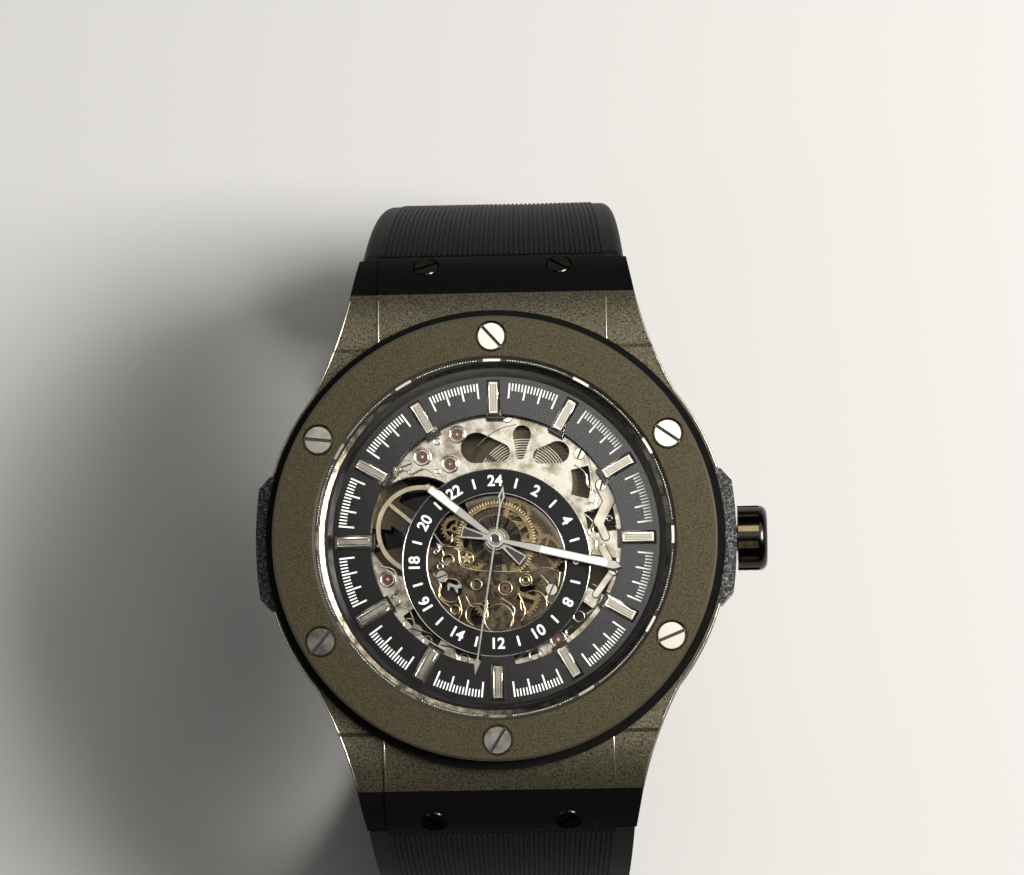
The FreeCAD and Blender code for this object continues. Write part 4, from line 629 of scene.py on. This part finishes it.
def case_corners():
    """The upper case's convex corners outside the bezel: the points they join, and the way in at each."""
    mesh = NODES["upper_case"].data
    shared = {}
    for face in mesh.polygons:
        corners = [tuple(round(c / MM, 3) for c in mesh.vertices[i].co) for i in face.vertices]
        facts = (face.normal.z, face.center.z / MM, tuple(face.normal))
        for a, b in zip(corners, corners[1:] + corners[:1]):
            shared.setdefault(tuple(sorted((a, b))), []).append(facts)
    links, inward = {}, {}
    for (a, b), faces in sorted(shared.items()):
        (side_up, side_z, side), (top_up, _, _) = min(faces), max(faces)
        corner = top_up > FACES_UP and side_up < STEEP and side_z < (a[2] + b[2]) / 2
        outside = min(math.hypot(*a[:2]), math.hypot(*b[:2])) > SCREWS_END
        wide = min(abs(a[0]), abs(b[0])) > STEP_X
        on_lug = max(abs(a[1]), abs(b[1])) > EARS_END and min(abs(a[1]), abs(b[1])) < LUG_END
        if corner and outside and wide and on_lug:
            for end, other in ((a, b), (b, a)):
                links.setdefault(end, []).append(other)
                inward[end] = inward.get(end, Vector()) - Vector(side)
    return links, inward


def case_edges():
    """A thin bright line along the upper case's outer corners and the steps on its lugs."""
    links, inward = case_corners()
    lines, used = Shape(), set()
    for start in sorted(p for p in links if len(links[p]) == 1):
        path = [start]
        while start not in used:
            used.add(start)
            ahead = [p for p in links[start] if p not in used]
            if ahead:
                start = ahead[0]
                path.append(start)
        if len(path) > 1:
            lines.tube([Vector(p) + EDGE_INSET * inward[p].normalized() for p in path], EDGE_WIRE)
    lines.make("case_edge_lines", case_edge, "case", "olive_case", True)


# ---------------------------------------------------------------- screws
BEZEL_SCREW_ROW = 18.67
BEZEL_SLOT_TURNS = (-48, -6, 50, 58, 22, -35)


def bezel_slots():
    """Black floors of painted shade for the slots of the bezel's screws."""
    floors = Shape()
    z = top("bezel_screws") - 0.3
    for i, turn in enumerate(BEZEL_SLOT_TURNS):
        at = clock(BEZEL_SCREW_ROW, -60 * i)
        floors.slab(turned(bar(1.3, -0.15, 0.15), -turn, at), z, z + 0.04)
    floors.make("bezel_slot_painted_shade", dark, "case", "black_steel")


def movement_slots():
    """Black floors of painted shade for the slots of the movement's front screws."""
    floors = Shape()
    for seat, first, places in (
        ("main_plate", 0, [(-8.3, 7.2), (7.9, 8.0), (11.2, -5.2), (-7.6, -8.2), (1.2, 11.6)]),
        ("setting_lever", 5, [(9.9, 5.0), (10.9, -2.9)]),
        ("motion_bridge", 0, [(-5.1, -3.3), (5.1, -4.7)]),
    ):
        low = top(seat) + 0.12
        for i, at in enumerate(places, first):
            floors.slab(turned(bar(0.53, -0.09, 0.09), -47 * i - 20, at), low, low + 0.085)
    floors.make("movement_slot_painted_shade", dark, "case", "black_steel")


# ---------------------------------------------------------------- movement
def smooth_path(points, z, steps=6):
    """A soft curve through points in plan (Catmull-Rom), at one height."""
    ends = [points[0]] + list(points) + [points[-1]]
    path = []
    for i in range(1, len(ends) - 2):
        p0, p1, p2, p3 = (Vector(ends[i + k]) for k in (-1, 0, 1, 2))
        for k in range(steps):
            t = k / steps
            bend, twist = p0 * 2 - p1 * 5 + p2 * 4 - p3, p1 * 3 - p0 - p2 * 3 + p3
            q = p1 * 2 + (p2 - p0) * t + bend * t**2 + twist * t**3
            path.append((q.x / 2, q.y / 2, z))
    return path + [(*points[-1], z)]


def round_arc(at, radius, first, last, z):
    """Points along an arc, between bearings in degrees anticlockwise from +X."""
    count = max(4, int(abs(last - first) / 8))
    turns = [math.radians(first + (last - first) * i / count) for i in range(count + 1)]
    return [(at[0] + radius * math.cos(t), at[1] + radius * math.sin(t), z) for t in turns]


JEWEL_SETTINGS = (((-6.8, 8.0), 0.78), ((-3.5, 10.05), 0.74), ((-4.2, 7.3), 0.8), ((-10.2, -3.4), 0.7),
                  ((5.6, -9.3), 0.7))
PLATE_RINGS = (((8.9, 3.0), 0.42), ((9.3, 0.9), 0.3), ((-9.1, 6.9), 0.26), ((-5.4, 9.4), 0.3),
               ((-5.4, 6.6), 0.22), ((-9.6, -5.5), 0.45), ((-8.3, -7.6), 0.5), ((-6.6, -9.2), 0.42),
               ((7.6, -7.2), 0.5), ((9.6, -5.6), 0.35), ((3.4, -10.7), 0.5), ((-3.2, -10.9), 0.45),
               ((10.6, 1.9), 0.25))
PLATE_ARCS = (((-7.2, 1.35), 4.87, 62, 196, 0.07), ((2.58, 5.39), 5.5, 96, 140, 0.05),
              ((2.58, 5.39), 6.5, -8, 52, 0.05))
PLATE_CURVES = (
    [(-9.6, 5.9), (-8.6, 6.9), (-7.9, 6.4), (-6.6, 6.9), (-5.6, 6.2)],
    [(7.4, 7.0), (8.4, 6.2), (8.6, 5.0), (9.4, 4.3), (9.2, 3.2)],
    [(8.2, 2.4), (9.0, 1.6), (8.6, 0.6), (9.3, -0.3), (8.9, -1.4)],
    [(-10.9, -2.2), (-9.6, -2.6), (-9.2, -4.2), (-10.0, -5.2)],
    [(-9.0, -5.9), (-8.2, -6.4), (-7.6, -7.9), (-6.2, -8.6)],
    [(-5.4, -9.6), (-4.2, -10.0), (-3.8, -11.2)],
    [(8.9, -4.2), (9.6, -4.8), (9.2, -6.2), (8.2, -7.0)],
    [(6.9, -8.0), (6.3, -8.6), (6.9, -9.4)],
    [(1.6, -11.1), (2.6, -10.4), (3.9, -10.3), (4.6, -10.9)],
)


def plate_details():
    """Jewel settings and the polished, curved edges on the main plate's visible ring, each curved edge with
    a darker tube beside it as a painted shadow.
    """
    z = top("main_plate")
    rings, lines, shades = Shape(), Shape(), Shape()
    for at, radius in JEWEL_SETTINGS:
        rings.wire_ring(radius, z + 0.03, 0.1, at, 40)
        rings.wire_ring(radius - 0.24, z + 0.03, 0.05, at, 40)
    for at, radius in PLATE_RINGS:
        rings.wire_ring(radius, z + 0.01, 0.06, at, 28, 6)
    rings.make("jewel_settings", steel, "case", "polished_steel", True)
    for at, radius, first, last, thick in PLATE_ARCS:
        lines.tube(round_arc(at, radius, first, last, z), thick)
    for points in PLATE_CURVES:
        lines.tube(smooth_path(points, z), 0.08)
        # A darker tube just below each curved edge, offset to the lower right: a painted shadow.
        shades.tube([(x + 0.1, y - 0.09, h) for x, y, h in smooth_path(points, z - 0.03)], 0.06)
    lines.make("plate_edges", steel, "case", "polished_steel", True)
    shades.make("plate_edge_shades", nickel_low, "case", "bronze_plate", True)


BRIDGE_ARCS = (
    ((-4.3, -4.6), 1.08, 20, 330), ((-1.9, -6.9), 1.03, -30, 250), ((3.4, -6.0), 1.23, -60, 210),
    ((-1.9, -4.1), 0.5, 0, 360), ((-4.5, -1.75), 0.53, 0, 360), ((0.15, -7.3), 1.35, 0, 360),
    ((2.7, -3.75), 0.55, 0, 360), ((2.7, -3.75), 0.3, 0, 360), ((-2.75, -1.65), 0.62, 0, 360),
    ((-3.9, -6.4), 0.42, 0, 360), ((0.79, -4.48), 0.62, 0, 360),
)
BRIDGE_CURVES = (
    [(-4.6, -0.5), (-3.6, -0.75), (-3.35, -2.2), (-2.3, -2.7), (-1.2, -2.85), (1.0, -2.95), (3.0, -3.0),
     (4.4, -2.6), (5.8, -3.0)],
    [(-5.9, -3.0), (-5.2, -4.2), (-5.4, -5.2), (-4.4, -6.1)],
    [(-3.6, -5.2), (-3.3, -6.6), (-3.8, -7.6)],
    [(-2.9, -5.2), (-2.2, -6.2), (-0.9, -5.6), (-1.4, -7.9)],
    [(4.2, -3.4), (4.9, -4.4), (4.6, -5.6), (5.4, -6.2)],
    [(2.0, -5.0), (2.6, -6.6), (2.2, -7.6)],
    [(5.9, -3.1), (5.7, -4.4), (5.0, -5.2)],
    [(0.4, -5.4), (1.6, -6.4), (1.2, -8.0)],
)
STEEL_CURVES = (
    [(-5.9, 0.9), (-5.0, -0.3), (-4.2, -0.2), (-4.1, 0.6)],
    [(-6.0, -1.4), (-5.3, -0.9), (-5.5, -0.2), (-4.9, -1.2), (-5.4, -2.0)],
)
STEEL_RINGS = (((-5.25, -2.35), 0.26), ((-5.6, -1.0), 0.2))


def bridge_details():
    """The polished edges, screw rings and small steelwork on the bridge inside the 24 h ring."""
    z = top("motion_bridge")
    gilt, bright = Shape(), Shape()
    for at, radius, first, last in BRIDGE_ARCS:
        gilt.tube(round_arc(at, radius, first, last, z), 0.045)
    for points in BRIDGE_CURVES:
        gilt.tube(smooth_path(points, z), 0.05)
    gilt.make("bridge_edges", gold_bright, "case", "gold", True)
    for points in STEEL_CURVES:
        bright.tube(smooth_path(points, z + 0.02), 0.05)
    for at, radius in STEEL_RINGS:
        bright.wire_ring(radius, z + 0.02, 0.05, at, 24, 6)
    bright.make("bridge_steelwork", steel, "case", "polished_steel", True)


KEYLESS_WHEELS = (((3.0, 0.35), 1.25, 22), ((4.35, -1.25), 1.75, 34), ((2.0, 2.6), 1.2, 22),
                  ((-3.9, 1.2), 1.1, 20))


def keyless_wheels():
    """Four small wheels on the main plate, given by place, radius and teeth."""
    wheels = Shape()
    low = top("main_plate") + 0.06
    for at, radius, teeth in KEYLESS_WHEELS:
        wheels.band(radius - 0.3, radius, 0, 360, low, low + 0.12, at, 40)
        wheels.band(0.2, 0.42, 0, 360, low, low + 0.14, at, 20)
        for i in range(teeth):
            tick(wheels, radius - 0.02, radius + 0.17, 0.14, 360 * i / teeth, low, low + 0.12, at)
        for i in range(3):
            tick(wheels, 0.4, radius - 0.25, 0.22, 120 * i + 20, low, low + 0.1, at)
        low -= 0.012
    wheels.make("keyless_wheels", wheel_bronze, "case", "bronze_plate")


STAR_AT = (-2.75, -1.65)


def jewel_star():
    """A five-rayed star on one of the bridge's jewels."""
    z = top("motion_bridge")
    star = Shape()
    ray = [(-0.13, 0.05), (0.13, 0.05), (0.06, 0.5), (-0.06, 0.5)]
    for turn in range(0, 360, 72):
        star.slab(turned(ray, turn, STAR_AT), z, z + 0.02)
    star.make("jewel_star", gold_bright, "case", "gold")


# ---------------------------------------------------------------- strap
TAIL_THICK, LAYER_GAP, BOTTOM_R, SLOPE_END, TAIL_TURN = 2.4, 0.25, 24.0, 50.0, 72.0
BEND_START, BEND_END = -13.6, -2.6
LUG_Y, LUG_R = 18.07, 11.53
WIDE_Z, NARROW_Z, WIDE_HALF, NARROW_HALF = 5.98, -19.6, 12.45, 10.0
RIBS, RIB_BORDER, RIB_FOOT, RIB_TOP, RIB_SINK, RIB_RISE = 44, 1.75, 0.19, 0.11, -0.03, 0.11
HOLE_TURNS, HOLE_REACH, HOLE_HALF = (14, 31, 55), 4.2, 1.75
WINDOW_START, WINDOW_END, WINDOW_HIGH = -11.0, -0.2, 4
RIBS_START, RIBS_STOP = 0.6, 0.985


def strap_run():
    """The outer face of the strap's 12 o'clock half, from the lug down, as (y, z) and the way out."""
    out_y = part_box("upper_strap")[1].y / MM
    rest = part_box("lower_strap")[0].z / MM
    wide_z = rest + TAIL_THICK + LAYER_GAP + BOTTOM_R
    slope = math.sin(math.radians(SLOPE_END))
    radius = (out_y - LUG_Y - LUG_R * slope) / (1 - slope)
    run = []
    for i in range(25):
        a = math.radians(SLOPE_END + RIBS_START + (90 - SLOPE_END - RIBS_START) * i / 24)
        run.append((out_y - radius + radius * math.sin(a), wide_z + radius * math.cos(a),
                    math.sin(a), math.cos(a)))
    for i in range(1, 31):
        a = math.radians(90 - 3 * i)
        run.append((out_y - BOTTOM_R + BOTTOM_R * math.sin(a), wide_z - BOTTOM_R * math.cos(a),
                    math.sin(a), -math.cos(a)))
    return run, out_y - BOTTOM_R, wide_z, rest


def half_width(z):
    """The strap narrows on its way down."""
    share = min(1, max(0, (z - NARROW_Z) / (WIDE_Z - NARROW_Z)))
    return NARROW_HALF + (WIDE_HALF - NARROW_HALF) * share


def ribs(name, run, skip):
    """Fine ribs along the strap, between two smooth borders. skip says where a hole interrupts them."""
    rib = Shape()
    for i in range(RIBS):
        share = (i - (RIBS - 1) / 2) / (RIBS / 2)
        row = []
        for k, (y, z, ny, nz) in enumerate(run):
            wide = half_width(z)
            x = share * (wide - RIB_BORDER)
            if skip(x, k):
                row.append(None)
                continue
            foot, tip = RIB_FOOT * wide / WIDE_HALF, RIB_TOP * wide / WIDE_HALF
            row.append(len(rib.verts))
            for dx, lift in ((-foot, RIB_SINK), (-tip, RIB_RISE), (tip, RIB_RISE), (foot, RIB_SINK)):
                rib.verts.append((x + dx, y + ny * lift, z + nz * lift))
        for a, b in zip(row, row[1:]):
            if a is not None and b is not None:
                rib.faces += [[a + k, a + k + 1, b + k + 1, b + k] for k in range(3)]
    rib.make(name, rubber, "case", "rubber")


def strap_ribs():
    """Ribs on both halves. The long half goes under the loop, down by one layer, and up the other side."""
    run, corner_y, wide_z, rest = strap_run()
    ribs("upper_strap_ribs", run[:-6], lambda x, k: False)
    mirror = [(-y, z, -ny, nz) for y, z, ny, nz in run]
    drop = TAIL_THICK + LAYER_GAP
    high_z = rest + drop
    middle, half = (BEND_START + BEND_END) / 2, (BEND_END - BEND_START) / 2
    radius = (half**2 + (drop / 2) ** 2) / drop
    bend = []
    for i in range(1, 25):
        y = BEND_START + 2 * half * i / 24
        if y < middle:
            a = math.asin((y - BEND_START) / radius)
            bend.append((y, high_z - radius * (1 - math.cos(a)), -math.sin(a), -math.cos(a)))
        else:
            a = math.asin((BEND_END - y) / radius)
            bend.append((y, rest + radius * (1 - math.cos(a)), -math.sin(a), -math.cos(a)))
    tail = []
    outer = BOTTOM_R + LAYER_GAP + TAIL_THICK
    for i in range(31):
        a = math.radians(TAIL_TURN * RIBS_STOP * i / 30)
        tail.append((corner_y + outer * math.sin(a), wide_z - outer * math.cos(a),
                     math.sin(a), -math.cos(a)))
    whole = mirror + [(BEND_START, high_z, 0, -1)] + bend + tail

    def holes(x, k):
        """Whether the buckle's window or one of the tail's holes is here."""
        y, z, ny, nz = whole[k]
        if abs(x) > HOLE_HALF:
            return False
        if WINDOW_START < y < WINDOW_END and z < rest + WINDOW_HIGH:
            return True
        turn = math.degrees(math.atan2(ny, -nz))
        return k >= len(whole) - len(tail) and any(abs(turn - at) < HOLE_REACH for at in HOLE_TURNS)

    ribs("lower_strap_ribs", whole, holes)


marker_panels()
ring_print()
minute_track()
hour_numbers()
ring_edges()
edge_beads()
flange_mirror()
edge_bars()
hand_details()
wheel_teeth()
hand_cap()
crown_stripes()
case_edges()
bezel_slots()
movement_slots()
plate_details()
bridge_details()
keyless_wheels()
jewel_star()
strap_ribs()

# ---------------------------------------------------------------- floor, light and camera
FLOOR_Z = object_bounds()[0].z
FLOOR_SIZE, FLOOR_GAP = 4, 0.0002
LIGHT_AIM = (0, 0, 0.01)
KEY_AT, KEY_SIZE, KEY_POWER = (0.28, 0.04, 0.36), (0.2, 0.2), 3.9
LEFT_AT, LEFT_SIZE, LEFT_POWER = (-0.45, -0.10, 0.40), (0.15, 0.5), 0.15
CAMERA_AT, CAMERA_TURN = (15.659 * MM, -26.814 * MM, 433.306 * MM), (4.866, 1.9734, -0.9626)


def stage_floor():
    spot = (0, 0, FLOOR_Z - FLOOR_GAP)
    bpy.ops.mesh.primitive_grid_add(x_subdivisions=8, y_subdivisions=8, size=FLOOR_SIZE, location=spot)
    floor = bpy.context.object
    floor.name = "floor"
    floor.data.materials.append(material("pale_floor", (0.47, 0.47, 0.46), 0.75))


def area(name, spot, size, power, color):
    """A rectangular soft light that points at the middle of the case."""
    data = bpy.data.lights.new(name, "AREA")
    data.energy, data.color = power, color
    data.shape = "RECTANGLE"
    data.size, data.size_y = size
    lamp = bpy.data.objects.new(name, data)
    lamp.location = spot
    lamp.rotation_euler = (Vector(LIGHT_AIM) - Vector(spot)).to_track_quat("-Z", "Y").to_euler()
    bpy.context.collection.objects.link(lamp)


# Soft panels of the room: the way each lies, and its brightness by the cosine of the angle from that way.
OVERHEAD = ((0.35, 0.35, 0.87), ((0.0, 0.02), (0.842, 0.03), (0.858, 0.06), (0.864, 0.12), (0.869, 0.3),
                                 (0.873, 0.55), (0.878, 0.85), (0.885, 1.25), (0.893, 1.6), (1.0, 1.7)))
LEFT_WALL = ((-0.93, 0.2, 0.3), ((0.0, 0.0), (0.80, 0.0), (0.90, 0.2), (1.0, 0.35)))
RIGHT_WALL = ((0.97, 0.08, 0.17), ((0.0, 0.0), (0.88, 0.0), (0.94, 0.6), (1.0, 0.9)))


def studio_world():
    """A dim room with a wide soft panel that begins straight overhead and reaches to the upper right."""
    world = bpy.data.worlds.new("studio")
    bpy.context.scene.world = world
    world.use_nodes = True
    tree = world.node_tree
    back = tree.nodes["Background"]
    way = tree.nodes.new("ShaderNodeTexCoord")
    total = None
    for toward, stops in (OVERHEAD, LEFT_WALL, RIGHT_WALL):
        dot = tree.nodes.new("ShaderNodeVectorMath")
        dot.operation = "DOT_PRODUCT"
        dot.inputs[1].default_value = Vector(toward).normalized()
        tree.links.new(way.outputs["Generated"], dot.inputs[0])
        curve = tree.nodes.new("ShaderNodeValToRGB")
        while len(curve.color_ramp.elements) < len(stops):
            curve.color_ramp.elements.new(0.5)
        for stop, (at, v) in zip(curve.color_ramp.elements, stops):
            stop.position, stop.color = at, (v, v * 0.985, v * 0.95, 1)
        tree.links.new(dot.outputs["Value"], curve.inputs["Fac"])
        if total is None:
            total = curve.outputs["Color"]
            continue
        mix = tree.nodes.new("ShaderNodeVectorMath")
        mix.operation = "ADD"
        tree.links.new(total, mix.inputs[0])
        tree.links.new(curve.outputs["Color"], mix.inputs[1])
        total = mix.outputs["Vector"]
    tree.links.new(total, back.inputs["Color"])
    back.inputs["Strength"].default_value = 1.0


stage_floor()
area("key", KEY_AT, KEY_SIZE, KEY_POWER, (1, 0.97, 0.93))
area("left", LEFT_AT, LEFT_SIZE, LEFT_POWER, (0.95, 0.98, 1))
studio_world()

lens = bpy.data.cameras.new("camera")
lens.lens = 160.5
lens.sensor_width = 36.0
lens.clip_start, lens.clip_end = 0.01, 10
camera = bpy.data.objects.new("camera", lens)
camera.location = CAMERA_AT
camera.rotation_euler = [math.radians(a) for a in CAMERA_TURN]
bpy.context.collection.objects.link(camera)
bpy.context.scene.camera = camera
bpy.context.scene.view_settings.view_transform = "Standard"
